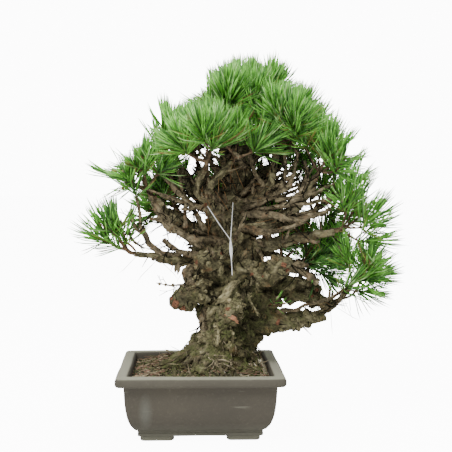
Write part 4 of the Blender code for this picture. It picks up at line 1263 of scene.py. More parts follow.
def bark_tube(heap, path, radius, plate, depth, along=None, finish=0, bulge=0.4, stretch=0.55, shaded=True):
    """A closed tube of bark: rings round the path, pushed outward by the bark's relief."""
    loops, ring = sweep(path, radius, along)
    run = np.concatenate([[0.0], np.linalg.norm(np.diff(path, axis=0), axis=1).cumsum()])
    angle = round_angles(radius.shape[1])
    middle = radius.mean(axis=1, keepdims=True)
    lengthwise = np.broadcast_to(run[:, None] * stretch, radius.shape)
    unrolled = np.stack([lengthwise, middle * np.cos(angle), middle * np.sin(angle)], axis=-1) + path[0] * 7.3
    out, crest, tone = bark_relief(loops, unrolled, radius, plate, depth)
    points = with_poles(loops + ring * out[..., None], bulge)
    tone = 0.35 + 0.65 * tone
    # painted shade: the tone is darkened in each listed place
    if shaded:
        tone = tone * shading(loops)
    marks = np.stack([crest, tone], axis=-1).reshape(-1, 2)
    marks = np.vstack([marks, marks[:1], marks[-1:]])
    heap.add(points, tube_faces(*radius.shape), finish, marks)


LIMB_STEP = 2.8 * MM  # between the rings of a limb's bark
LIMB_SIDE = 3.2 * MM  # between the points of a ring, where that gives 20 to 60 of them


def limb_tube(heap, name):
    """One limb's bark: its line and swellings as in the solids, with knots."""
    chosen = settings()
    rings = int(np.linalg.norm(np.diff(LINES[name][0], axis=0), axis=1).sum() / LIMB_STEP)
    line, radii = limb_line(PLANS[name], rings)
    sides = int(np.clip(2 * math.pi * radii.mean() / LIMB_SIDE, 20, 60))
    knots = 1 + 0.16 * soft_noise(line, 15 * MM, 501)[:, None]
    swollen = lumps(even_shares(rings), round_angles(sides), 200 + PLANS[name][0], LIMB_LUMPS)
    plate = chosen.bark_plate * float(np.clip(math.sqrt(radii[0] / (45 * MM)), 0.36, 0.85))
    bark_tube(heap, line, radii[:, None] * swollen * knots, plate, chosen.bark_depth)


KNOB_RINGS, KNOB_SIDES = 8, 12


def knob(heap, rng, foot, way, length, radius):
    """A burl or short stub: a bent tube whose radius follows a quarter circle to its round, lumpy end."""
    share = np.sin(np.linspace(0, math.pi / 2, KNOB_RINGS))[:, None]
    side = unit(np.cross(way, rng.normal(size=3)))
    path = foot + way * length * share + side * length * 0.2 * share**2
    swollen = lumps(share, round_angles(KNOB_SIDES), int(rng.integers(1e6)), 0.34)
    bark_tube(heap, path, radius * np.sqrt(1.02 - share**2.4) * swollen, 7 * MM, 11 * MM, bulge=0.2)


def knobs_on(heap, rng, line, radii, count, low, high, proud=False):
    """Scatters stubs over a limb: at random shares and turns, pointing out of it, further where proud."""
    frames = line_frames(line)
    for _ in range(count):
        i, side = random_side(rng, frames, 0.12, 0.97)
        radius = rng.uniform(low, high) * MM
        foot = line[i] + side * max(0.0, radii[i] * 0.8 - radius * 0.4)
        way = unit(side + frames[0][i] * rng.uniform(-0.4, 0.5))
        length = radius * rng.uniform(0.9, 1.5) + radii[i] * (0.3 if proud else 0.12)
        knob(heap, rng, foot, way, length, radius)


def thin_twigs(heap, rng, line, radii, count, finish):
    """Thin bare twigs along a branch: quadratic curves that leave it and turn up or down, with a fork."""
    frames = line_frames(line)
    t = even_shares(9)
    for _ in range(count):
        i, side = random_side(rng, frames, 0.2, 0.98)
        way = unit(side + frames[0][i] * rng.uniform(0.0, 1.2))
        reach = rng.uniform(18, 60) * MM
        later = unit(way + UP * rng.uniform(-0.6, 1.2) + rng.normal(size=3) * 0.6)
        path = turning(line[i] + side * radii[i] * 0.5, way, later, reach, t)
        first = min(radii[i] * 0.5, rng.uniform(1.3, 2.4) * MM)
        radius = (first + (0.6 * MM - first) * t)[:, 0] * (1 + 0.15 * np.sin(t[:, 0] * 40))
        plain_tube(heap, path, radius, 6, finish)
        fork = path[5] + unit(later + rng.normal(size=3) * 0.8) * reach * 0.4 * t
        plain_tube(heap, fork, np.linspace(0.9, 0.5, 9) * MM, 5, finish)


TRUNK_RINGS, TRUNK_SIDES = 250, 180
BURL_RINGS, BURL_SIDES, GNARL_SIDES = 26, 40, 20


class PINE_OT_trunk(bpy.types.Operator):
    """Covers the trunk and its swellings with cracked, corky bark, with knobs"""

    bl_idname = "pine.trunk"
    bl_label = "Trunk"

    def execute(self, context):
        chosen = settings()
        rng = np.random.default_rng(7100)
        heap = Heap()
        path, radii, along = trunk_line(TRUNK_RINGS)
        share, angle = even_shares(TRUNK_RINGS), round_angles(TRUNK_SIDES)
        radius = radii[:, None] * lumps(share, angle, 5, TRUNK_LUMPS)
        # the foot spreads into ribs that run out as roots
        flare = np.clip(1 - share / 0.1, 0, 1) ** 1.5
        radius = radius + flare * (3 + 8 * np.cos(angle * 6 + 1.0) + 5 * np.cos(angle * 11 + 2.0)) * MM
        path[:3, 2] -= np.array([8, 4, 1]) * MM
        bark_tube(heap, path, radius, chosen.bark_plate, chosen.bark_depth * 1.2, along, stretch=0.75)
        share = even_shares(BURL_RINGS)
        rows = [[np.array(part) * MM for part in row] for row in BURLS]
        for number, (start, end, first, last) in enumerate(rows + gnarl_rows()):
            sides, knobs = (BURL_SIDES, 7) if number < len(BURLS) else (GNARL_SIDES, 2)
            line = start + (end - start) * share
            thick = (first + (last - first) * share) * np.sqrt(1.12 - share**4)
            radius = thick * lumps(share, round_angles(sides), 50 + number, BURL_LUMPS)
            bark_tube(heap, line, radius, chosen.bark_plate * 0.8, chosen.bark_depth * 1.1)
            way = unit(end - start)
            for _ in range(knobs):
                side = unit(way * rng.uniform(0.0, 1.2) + np.cross(way, rng.normal(size=3)))
                foot = end - way * last * 0.7 + side * last * 0.25
                size = rng.uniform(0.28, 0.5) * last
                knob(heap, rng, foot, side, last * 0.62 + size * 0.5, size)
        path, radii, _ = trunk_line(120)
        knobs_on(heap, rng, path[8:84], radii[8:84], 60, 4, 10)
        bark = bark_finish("bark_trunk", [part * 0.9 for part in chosen.bark_colour], moss=0.9, rust=0.45)
        heap.build_bark("trunk_bark", [bark], ["trunk"])
        return {"FINISHED"}


BRANCH_RINGS, BRANCH_SIDES = 48, 13
UPPER_BRANCHES, UPPER_RINGS = 22, 37


class PINE_OT_boughs(bpy.types.Operator):
    """Covers the boughs and stubs with bark of finer plates, with knobs and side branches"""

    bl_idname = "pine.boughs"
    bl_label = "Boughs"

    def execute(self, context):
        chosen = settings()
        rng = np.random.default_rng(7200)
        old = bark_finish("bark_boughs", chosen.bark_colour, moss=0.6, rust=0.4, scale=1.2)
        young = bark_finish("bark_young", (0.36, 0.30, 0.195), rust=0.4, scale=1.5)
        for region, names in BOUGH_REGIONS.items():
            heap = Heap()
            for name in names:
                limb_tube(heap, name)
                line, radii = limb_line(PLANS[name], 60)
                if name in STUBS:
                    knobs_on(heap, rng, line, radii, 26, 5, 11, proud=True)
                else:
                    knobs_on(heap, rng, line, radii, 9, 2.5, 5)
                    self.side_branches(heap, rng, line, radii)
                thin_twigs(heap, rng, line, radii, 8, 1)
            heap.build_bark(f"boughs_{region}", [old, young], [f"bough_{name}" for name in names])
        heap = Heap()
        for stations, first, last in HAND_TWIGS:
            line = curve_through(stations, BRANCH_RINGS) * MM
            self.branch(heap, rng, line, first * 0.85 * MM, last * MM)
        path, radii, along = trunk_line(120)
        across, upward = side_frames(along)
        for number in range(UPPER_BRANCHES):
            i = int(np.interp(0.42 + 0.5 * number / UPPER_BRANCHES, [0, 1], [0, 119]))
            side = turned(number * GOLDEN_ANGLE, across[i], upward[i])
            reach = rng.uniform(90, 150) * MM
            later = unit(side + UP * 0.9 + rng.normal(size=3) * 0.35)
            line = turning(path[i], unit(side + along[i] * 0.3), later, reach, even_shares(UPPER_RINGS))
            self.branch(heap, rng, line, min(radii[i] * 0.6, 8.5 * MM), 3 * MM)
        heap.build_bark("branches_inner", [young])
        return {"FINISHED"}

    def branch(self, heap, rng, line, first, last):
        """One thinner branch: its line with a slow wander and knots, then thin twigs along it."""
        share = even_shares(len(line))
        line = line + soft_drift(line, 26 * MM, 81) * 5 * MM * np.sin(math.pi * share)
        radii = (first + (last - first) * share[:, 0] ** 0.8) * (1 + 0.2 * soft_noise(line, 9 * MM, 95))
        swollen = lumps(share, round_angles(BRANCH_SIDES), int(rng.integers(1e6)), 0.2)
        bark_tube(heap, line, radii[:, None] * swollen, 8 * MM, 10 * MM)
        knobs_on(heap, rng, line, radii, 4, 2, 4.5)
        thin_twigs(heap, rng, line, radii, 6, 0)

    def side_branches(self, heap, rng, line, radii):
        """Thin bare branches from a limb: quadratic curves that set off outward and turn up."""
        frames = line_frames(line)
        t = even_shares(18)
        for _ in range(6):
            i, side = random_side(rng, frames, 0.25, 0.92)
            way = unit(side + frames[0][i] * rng.uniform(0.2, 1.0))
            reach = rng.uniform(30, 75) * MM
            later = unit(way + UP * 0.7 + rng.normal(size=3) * 0.5)
            path = turning(line[i], way, later, reach, t)
            path = path + soft_noise(path, 14 * MM, 77)[:, None] * 2.5 * MM * t
            first = min(radii[i] * 0.55, 6.5 * MM)
            radius = (first + (1.8 * MM - first) * t) * lumps(t, round_angles(9), 9, 0.3)
            bark_tube(heap, path, radius, 7 * MM, 8 * MM, finish=1)


TRUNK_FOOT = np.array([50.0, -4.0]) * MM
# Main roots: turn round the trunk's foot in degrees, run, height at the trunk above the soil, radius there
ROOTS = [
    (172, 150, 20, 7), (182, 178, 30, 9), (192, 190, 38, 11), (202, 184, 36, 9), (213, 158, 30, 10),
    (227, 136, 28, 8), (243, 116, 26, 8), (262, 104, 28, 9), (286, 98, 26, 8), (309, 102, 28, 8),
    (331, 106, 28, 9), (354, 98, 24, 8), (15, 98, 26, 9), (38, 100, 24, 8), (60, 104, 26, 9),
    (82, 102, 28, 9),
    (104, 104, 24, 8), (126, 118, 28, 9), (149, 142, 28, 9),
]


THIN_ROOTS, PALE_THREADS = 14, 36


def soil_height(plan):
    """The soil's height at places in plan: by how far each lies from the mound's rim to the pot's wall."""
    away = plan - MOUND_CENTRE
    far = np.linalg.norm(away, axis=-1)
    way = away / np.maximum(far, 1e-6)[..., None]
    rim = np.linalg.norm(way * MOUND_RADII, axis=-1)
    half = np.array([POT_LENGTH, POT_WIDTH]) / 2 - SOIL_INSET
    wall = np.where(way > 0, half - MOUND_CENTRE, half + MOUND_CENTRE) / np.maximum(np.abs(way), 1e-3)
    wall = wall.min(axis=-1)
    s = np.clip((wall - far) / np.maximum(wall - rim, 1e-3), 0, 1)
    return SOIL_EDGE - 3 * MM + (SOIL_TOP - SOIL_EDGE + 3 * MM) * s * s * (3 - 2 * s)


class PINE_OT_roots(bpy.types.Operator):
    """Runs roots from the trunk's foot down over the mound, thick ones first, then thin and pale ones"""

    bl_idname = "pine.roots"
    bl_label = "Surface roots"

    def execute(self, context):
        rng = np.random.default_rng(7300)
        heap = Heap()
        for turn, run, rise, radius in ROOTS:
            self.root(heap, rng, (turn, 56, run, rise, radius), 0, 60, 18)
            parts = [rng.uniform(*ends) for ends in ((-9, 9), (0.8, 1.05), (0.3, 0.7), (0.25, 0.45))]
            finer = (turn + parts[0], 66, run * parts[1], rise * parts[2], radius * parts[3])
            self.root(heap, rng, finer, 0, 50, 12)
        for _ in range(THIN_ROOTS):
            drawn = [rng.uniform(*ends) for ends in ((0, 360), (60, 90), (85, 150), (0, 30), (1.2, 2.6))]
            self.root(heap, rng, drawn, 0, 40, 8)
        for _ in range(PALE_THREADS):
            drawn = [rng.uniform(*ends) for ends in ((0, 360), (66, 95), (90, 175), (4, 40), (0.6, 1.2))]
            self.root(heap, rng, drawn, 1, 34, 6, rng.uniform(-0.9, 0.9))
        old = bark_finish("bark_roots", (0.25, 0.215, 0.135), moss=0.8, rust=0.35, scale=1.4)
        pale = bark_finish("bark_fine_roots", (0.52, 0.45, 0.31), rust=0.2, scale=1.5)
        heap.build_bark("surface_roots", [old, pale])
        return {"FINISHED"}

    def root(self, heap, rng, sizes, finish, rings, sides, drift=0.0):
        """One root, from its turn, start, run, rise and radius.

        Its plan runs outward with a slow wander, and its height is the soil's plus a rise that falls off by a
        power of the share run. It sinks into the soil by part of its thickness, thins by a straight line, and
        ends under the soil.
        """
        turn, start, run, rise, radius = sizes
        t = np.linspace(0, 1, rings)
        seeds = np.stack([t * run / 26 + rng.uniform(0, 100), np.zeros(rings), np.zeros(rings)], axis=-1)
        angle = math.radians(turn) + soft_noise(seeds, 1.0, 91) * 0.2 * t
        angle = angle + rng.uniform(-0.06, 0.06) * t + drift * t
        way = np.stack([np.cos(angle), np.sin(angle)], axis=-1)
        plan = TRUNK_FOOT + way * (start + (run - start) * t)[:, None] * MM
        half = np.array([POT_LENGTH, POT_WIDTH]) / 2 - SOIL_INSET - (3 + radius * 0.4) * MM
        plan = np.clip(plan, -half, half)
        thick = radius * (1 - 0.75 * t) * MM
        fall = np.clip(1 - t * 1.05, 0, 1) ** 2.1
        bumps = soft_noise(seeds + 7.7, 1.0, 92) * (1.0 + 0.25 * radius) * MM
        height = soil_height(plan) + rise * fall * MM + bumps + thick * 0.25
        height = height - np.clip(t - 0.93, 0, 1) * 90 * MM
        path = np.column_stack([plan, height])
        kernel = np.ones(5) / 5
        path[2:-2] = np.stack([np.convolve(path[:, axis], kernel, "valid") for axis in range(3)], axis=-1)
        swollen = lumps(t[:, None], round_angles(sides), int(rng.integers(1e6)), 0.26)
        bark_tube(heap, path, thick[:, None] * swollen, (9 if radius > 5 else 5) * MM, 12 * MM, finish=finish)


# Broken wood, ribs and pale roots, placed by the photograph

# Broken or cut wood: its pixel across and down in the photograph, length and width in mm, tilt and finish
SCARS = [
    (231, 317, 30, 8, -26, 0), (236, 321, 16, 5, -45, 0), (228, 309, 12, 6, 10, 1),
    (176, 303, 22, 12, 70, 1), (183, 308, 16, 9, -30, 1), (172, 298, 12, 8, 20, 1), (180, 255, 16, 7, 10, 1),
    (284, 265, 14, 8, -30, 1), (290, 270, 10, 6, 40, 1), (252, 274, 11, 5, 20, 1), (263, 277, 10, 6, 0, 1),
    (278, 322, 16, 6, 65, 1), (200, 322, 14, 6, 60, 1), (197, 262, 12, 6, 30, 1), (317, 290, 12, 7, 50, 1),
    (312, 296, 10, 6, -20, 1), (206, 205, 12, 5, 70, 1), (300, 176, 16, 5, 35, 1), (222, 254, 11, 7, 15, 1),
]
# Corky ribs that stand out from the trunk's front: pixels of the photograph, then the radii at both ends
RIDGES = [
    ([(255, 276), (246, 276), (238, 281), (231, 288), (225, 296), (217, 303), (211, 312), (208, 323),
      (205, 334),
      (199, 343)], 8, 13),
    ([(222, 299), (230, 301), (238, 306), (243, 313), (240, 320)], 8, 8),
    ([(248, 290), (250, 301), (256, 311), (262, 320)], 4, 6), ([(236, 292), (240, 300), (246, 309)], 4, 4),
    ([(214, 322), (218, 334), (216, 346)], 5, 7), ([(230, 326), (233, 338), (228, 348)], 4, 6),
    ([(196, 285), (203, 281), (211, 284)], 6, 5), ([(188, 281), (196, 277), (205, 276)], 5, 4),
]
# Thin pale roots that wander over the trunk's foot and the mound, traced in the same way, with one radius
PALE_ROOTS = [
    ([(224, 341), (229, 349), (232, 358), (231, 367)], 1.3), ([(235, 344), (236, 352), (232, 360),
      (229, 369)], 1.4),
    ([(241, 347), (248, 352), (252, 359), (249, 368)], 1.3), ([(203, 349), (210, 357), (217, 365),
      (226, 371)], 1.5),
    ([(218, 360), (231, 362), (243, 366), (254, 370)], 1.7), ([(208, 354), (222, 356), (231, 360)], 1.1),
    ([(252, 352), (260, 358), (266, 366)], 1.2), ([(212, 366), (224, 364), (238, 371)], 1.1),
    ([(226, 336), (222, 345), (224, 352)], 1.1),
]
# Roots that leave the trunk's foot to the left in a bundle: pixels, the y of both ends and the radius in mm
ROOT_BUNDLE = [
    ([(198, 343), (188, 352), (177, 359), (164, 367), (149, 374)], -22, 2, 3.6),
    ([(197, 348), (187, 358), (177, 365), (167, 373)], -30, -14, 4.4),
    ([(195, 343), (183, 350), (172, 357), (158, 367)], -10, 16, 2.6),
    ([(200, 350), (193, 360), (186, 367), (179, 375)], -34, -26, 3.8),
    ([(192, 346), (179, 353), (166, 361), (152, 370)], -4, 20, 2.0),
    ([(201, 349), (207, 355), (213, 361), (222, 368)], -42, -50, 2.4),
    ([(190, 354), (178, 361), (165, 369), (157, 375)], -26, -8, 2.0),
    ([(203, 352), (202, 361), (197, 368), (194, 376)], -44, -38, 3.2),
    ([(184, 350), (170, 358), (158, 363), (146, 366)], 4, 26, 1.6),
]


def sight(pixel):
    """The direction from the camera through a pixel of the photograph's frame."""
    right, up, forward = sight_lines(CAMERA_YAW, CAMERA_PITCH, CAMERA_ROLL)
    focal = CAMERA_LENS / SENSOR_WIDTH * FRAME_PIXELS
    return unit(forward * focal + right * (pixel[0] - FRAME_PIXELS / 2) - up * (pixel[1] - FRAME_PIXELS / 2))


def first_hit(pieces, pixel):
    """How far, where and facing which way a pixel's sight line first meets a piece, or nothing."""
    start, way = CAMERA_PLACE + HOME, sight(pixel)
    hits = []
    for piece in pieces:
        found, spot, normal, _ = piece.ray_cast(start, way)
        if found:
            spot = np.array(spot)
            hits.append(((spot - start) @ way, spot - HOME, np.array(normal)))
    return min(hits, key=lambda hit: hit[0]) if hits else None


def traced(pieces, pixels, count, sink):
    """A path over the pieces: a curve of pixels, each sight line run to its first hit, smoothed in depth."""
    track = curve_through(pixels, count)
    hits = [first_hit(pieces, pixel) for pixel in track]
    found = [i for i, hit in enumerate(hits) if hit]
    if len(found) < count / 2:
        raise RuntimeError(f"too little lies behind the path from {pixels[0]}")
    far = np.interp(np.arange(count), found, [hits[i][0] for i in found])
    kernel = np.ones(7) / 7
    far = np.convolve(np.pad(far, 3, mode="edge"), kernel, "valid")
    return np.array([CAMERA_PLACE + sight(pixel) * (reach + sink) for pixel, reach in zip(track, far)])


def spanned(pixels, near, far, count):
    """A path on the sight lines of a curve of pixels, whose y runs evenly from near to far, in mm."""
    ways = np.array([sight(pixel) for pixel in curve_through(pixels, count)])
    reach = (np.linspace(near, far, count) * MM - CAMERA_PLACE[1]) / ways[:, 1]
    return CAMERA_PLACE + ways * reach[:, None]


RIB_RINGS, PALE_RINGS = 60, 44


class PINE_OT_ridges(bpy.types.Operator):
    """Raises corky ribs on the trunk's front, and lays thin pale roots over its foot and the mound"""

    bl_idname = "pine.ridges"
    bl_label = "Ribs and thin roots"

    def execute(self, context):
        heap = Heap()
        rng = np.random.default_rng(7350)
        pieces = [bpy.data.objects[name] for name in ("trunk_bark", "boughs_left")]
        for pixels, first, last in RIDGES:
            path = traced(pieces, pixels, RIB_RINGS, first * 0.05 * MM)
            share = even_shares(RIB_RINGS)
            ends = np.sqrt(np.clip(np.sin(math.pi * share) * 3, 0.15, 1))
            thick = (first + (last - first) * share) * ends * MM
            radius = thick * lumps(share, round_angles(22), int(rng.integers(1e6)), 0.3)
            bark_tube(heap, path, radius, 6 * MM, 12 * MM, shaded=False)
            knobs_on(heap, rng, path, thick[:, 0], 12, 2.5, 5.5, proud=True)
        pieces += [bpy.data.objects[name] for name in ("soil_ground", "surface_roots")]
        for pixels, thick in PALE_ROOTS:
            path = traced(pieces, pixels, PALE_RINGS, 0.0)
            path = path + soft_drift(path, 12 * MM, 97) * 2.2 * MM
            share = even_shares(PALE_RINGS)
            radius = thick * (1.15 - 0.6 * share) * MM * lumps(share, round_angles(8), 77, 0.2)
            bark_tube(heap, path, radius, 5 * MM, 4 * MM, finish=1, shaded=False)
        for pixels, near, far, thick in ROOT_BUNDLE:
            path = spanned(pixels, near, far, RIB_RINGS)
            path = path + soft_drift(path, 16 * MM, 57) * 3.0 * MM
            share = even_shares(RIB_RINGS)
            radius = thick * (1.25 - 0.75 * share) * MM * lumps(share, round_angles(12), 78, 0.24)
            bark_tube(heap, path, radius, 6 * MM, 5 * MM, finish=2)
        chosen = settings()
        # painted light: the ribs' bark is half again as light as the trunk's, as if the proud ribs catch the
        # light
        lit_rib = bark_finish("bark_ribs_painted_light", [part * 1.5 for part in chosen.bark_colour], moss=0.35, rust=0.4)
        pale = bark_finish("bark_pale_roots", (0.50, 0.43, 0.29), rust=0.2, scale=1.5)
        brown = bark_finish("bark_brown_roots", (0.46, 0.33, 0.235), rust=0.5, scale=1.5)
        heap.build_bark("trunk_ribs", [lit_rib, pale, brown])
        return {"FINISHED"}


# Steps from a scar's pixel to its neighbours, nearest first, tried until one lies over bark
NEAR_PIXELS = [(x, y) for x in range(-9, 10, 3) for y in range(-9, 10, 3)]
NEAR_PIXELS.sort(key=lambda step: math.hypot(*step))


class PINE_OT_scars(bpy.types.Operator):
    """Sets faces of broken and cut wood on the bark where the photograph shows them"""

    bl_idname = "pine.scars"
    bl_label = "Broken wood"

    def execute(self, context):
        heap = Heap()
        rng = np.random.default_rng(7400)
        barks = [obj for obj in bpy.data.objects if obj.name.startswith(("trunk_", "boughs_"))]
        for across, down, length, width, tilt, finish in SCARS:
            tries = [first_hit(barks, (across + aside, down + under)) for aside, under in NEAR_PIXELS]
            tries = [hit for hit in tries if hit]
            if not tries:
                raise RuntimeError(f"no bark behind the scar at {across}, {down}")
            _, spot, normal = tries[0]
            facing = unit(unit(normal) * 0.5 - sight((across, down)) * 0.5)
            flat = unit(np.cross(UP, facing))
            lean = math.radians(tilt)
            long = turned(lean, flat, np.cross(facing, flat))
            self.scar(heap, rng, spot, long, facing, length * MM, width * MM, finish)
        fresh = wood_finish("wood_fresh_break", (0.54, 0.27, 0.15), 700.0)
        rusty = wood_finish("wood_rusty_break", (0.22, 0.10, 0.055), 300.0)
        heap.build("broken_wood", [fresh, rusty])
        return {"FINISHED"}

    def scar(self, heap, rng, spot, long, facing, length, width, finish):
        """Splinters side by side: each an ellipsoid drawn out along the scar, its surface roughened."""
        rings, sides = 11, 8
        t = np.linspace(0.03, math.pi - 0.03, rings)[:, None]
        turn = round_angles(sides)
        across = np.cross(facing, long)
        for place in np.linspace(-0.42, 0.42, 6):
            reach = length * rng.uniform(0.7, 1.0) * math.sqrt(1 - place**2)
            thick = width * rng.uniform(0.16, 0.24)
            tilted = unit(long + across * rng.uniform(-0.05, 0.05) + facing * rng.uniform(-0.06, 0.06))
            beside = np.cross(facing, tilted)
            shape = (np.cos(t)[..., None] * tilted * -reach / 2
                     + (np.sin(t) * np.cos(turn))[..., None] * beside * thick
                     + (np.sin(t) * np.sin(turn))[..., None] * facing * 3.0 * MM)
            shape = shape * (1 + 0.3 * soft_noise(shape + rng.uniform(0, 9, 3), 3 * MM, 61))[..., None]
            foot = spot + across * width * place + long * length * rng.uniform(-0.08, 0.08)
            heap.add(with_poles(foot + shape, 0.0), tube_faces(rings, sides), finish)


# Twigs, buds and needles

SHOOT_LIFT = 0.35  # how far shoots turn up from the line of their twig
# How much of a shoot bears needles, behind and beyond its twig's tip
SHOOT_BACK, SHOOT_AHEAD = 8 * MM, 20 * MM


def all_shoots():
    """Every shoot of every mass: the main ones of the solids, then finer ones that grow from their twigs.

    Gives, by mass, the stem and for each shoot its twig's points, heading, number of pairs and rank.
    """
    chosen = settings()
    masses = []
    for index, mass in enumerate(MASSES):
        rng = np.random.default_rng(3000 + index)
        stem, kept = kept_twigs(index)
        pairs = int(chosen.needle_pairs * FULLNESS.get(mass[0], 1.0))
        shoots = [(points, unit(heading + UP * SHOOT_LIFT), pairs, 0) for points, heading in kept]
        for points, heading in kept:
            for _ in range(chosen.side_shoots):
                share = rng.uniform(0.35, 0.85)
                foot = points[1] + (points[2] - points[1]) * share
                way = unit(points[2] - points[1])
                side = unit(np.cross(way, rng.normal(size=3)))
                out = unit(way * 0.55 + side * 0.9 + UP * 0.35)
                reach = rng.uniform(16, 34) * MM
                shoot = unit(out + heading * 0.9 + UP * 0.3)
                middle = foot + out * reach * 0.5
                tip = middle + unit(out + shoot) * reach * 0.5
                twig = np.array([foot, middle, tip])
                if inside_space(twig[2:], index, 2 * MM).all() and off_limbs(twig[1:], 5 * MM).all():
                    shoots.append((twig, shoot, int(pairs * rng.uniform(0.35, 0.65)), 1))
        masses.append((stem, shoots))
    return masses


def lone_shoots():
    """The shoots apart from the masses, in the same form, each with its tone."""
    shoots = []
    for foot, tip, heading, pairs, tone in LONE_SHOOTS:
        foot, tip, heading = np.array(foot) * MM, np.array(tip) * MM, unit(np.array(heading, float))
        middle = (foot + tip) / 2 + UP * 2 * MM
        shoots.append(((np.array([foot, middle, tip]), heading, pairs, 1), tone))
    return shoots


def off_sky(points):
    """Where a point isn't seen within any of the places of sky that are listed."""
    across, down = on_photo(points)
    free = np.ones(len(points), bool)
    for x, y, reach in SKY:
        free &= np.hypot(across - x, down - y) > reach
    return free


TWIG_RINGS, STEM_RINGS = 14, 22


class PINE_OT_twigs(bpy.types.Operator):
    """Grows the twigs of every mass of needles, with a bud at the tip of each shoot"""

    bl_idname = "pine.twigs"
    bl_label = "Twigs and buds"

    def execute(self, context):
        heap = Heap()
        for (name, *_), (stem, shoots) in zip(MASSES, all_shoots()):
            line, radii = LINES[name]
            back = line[-1] - unit(line[-1] - line[-2]) * 6 * MM
            path = curve_through([back, *stem], STEM_RINGS)
            t = even_shares(STEM_RINGS)
            radius = (radii[-1] * 0.95 * (1 - t) + 3.6 * MM * t) * lumps(t, round_angles(14), 3, 0.2)
            bark_tube(heap, path, radius, 8 * MM, 9 * MM)
            for shoot in shoots:
                self.twig(heap, shoot)
        for shoot, _ in lone_shoots():
            self.twig(heap, shoot)
        young = bark_finish("bark_twigs", (0.38, 0.27, 0.17), rust=0.5, scale=2.0)
        bud = speck_finish("buds", (0.33, 0.25, 0.17), 500.0)
        heap.build_bark("twigs", [young, bud])
        return {"FINISHED"}

    def twig(self, heap, shoot):
        """One scaly twig that runs on through its shoot, and the bud at its tip."""
        points, heading, _, rank = shoot
        path = curve_through([*points, points[-1] + heading * SHOOT_AHEAD], TWIG_RINGS)
        t = even_shares(TWIG_RINGS)
        first, last = ((3.6, 1.7), (2.4, 1.4))[rank]
        radius = (first * (1 - t) + last * t) * MM
        scales = 1 + 0.22 * np.sin(t * 40 + np.arange(6)[None] * math.pi / 1.5)
        bark_tube(heap, path, radius * scales, 5 * MM, 6 * MM)
        bud = points[-1] + heading * (SHOOT_AHEAD + np.linspace(-2, 9, 6)[:, None] * MM)
        plain_tube(heap, bud, np.array([1.6, 2.3, 2.5, 2.1, 1.3, 0.5]) * MM, 6, 1)


# The finishes of the needles, by their place in the list
YOUNG_AND_LIT, GREEN, DEEP_AND_SHADED, PAINTED_HIGHLIGHT, YELLOW, BROWN = range(6)


def needles_of(rng, shoot, tone):
    """The needles of one shoot: pairs along its end, laid out by the golden angle.

    The lower a pair sits, the wider it stands from the shoot; each needle bends back toward the shoot's line.
    """
    chosen = settings()
    points, heading, pairs, rank = shoot
    across, upward = side_frames(np.array([heading]))
    t = (np.arange(pairs) + rng.uniform(0, 1, pairs)) / pairs
    base = points[-1] + heading * ((SHOOT_AHEAD + SHOOT_BACK) * t - SHOOT_BACK)[:, None]
    polar = np.radians(5 + 66 * (1 - t) ** 1.2 + rng.normal(0, 7, pairs))
    turn = np.arange(pairs) * GOLDEN_ANGLE + rng.uniform(-0.4, 0.4, pairs) + rng.uniform(0, 6)
    side = np.cos(turn)[:, None] * across + np.sin(turn)[:, None] * upward
    way = np.cos(polar)[:, None] * heading + np.sin(polar)[:, None] * side
    length = chosen.needle_length * rng.uniform(0.7, 1.0, pairs) * (1 - 0.08 * t) * (1.0, 0.9)[rank]
    length = length * rng.uniform(0.84, 1.03)
    apart = unit(rng.normal(size=(pairs, 3))) * 0.07
    base = np.vstack([base, base])
    way = unit(np.vstack([way + apart, way - apart]))
    length = np.concatenate([length, length * rng.uniform(0.92, 1.0, pairs)])
    t = np.concatenate([t, t])
    bend = heading * 0.1 + UP * 0.08 + rng.normal(size=way.shape) * 0.04
    end = base + way * length[:, None]
    half = base + way * length[:, None] * 0.5
    clear = off_limbs(half, 1 * MM) & off_limbs(end, 1 * MM)
    clear &= off_sky(end) & off_sky((end + half) / 2) & off_sky(half)
    # each needle takes its shoot's green; a few are deep or lighter, a few are pale as painted highlights,
    # and the lowest are turning brown
    draw = rng.uniform(0, 1, 2 * pairs)
    finish = np.full(2 * pairs, tone)
    finish[draw < 0.26] = DEEP_AND_SHADED
    finish[draw > 0.74] = max(tone - 1, YOUNG_AND_LIT)
    finish[draw > 0.9] = PAINTED_HIGHLIGHT
    finish[(draw < 0.16) & (t < 0.2)] = YELLOW
    finish[(draw < 0.05) & (t < 0.3)] = BROWN
    return base[clear], way[clear], bend[clear], length[clear], finish[clear]


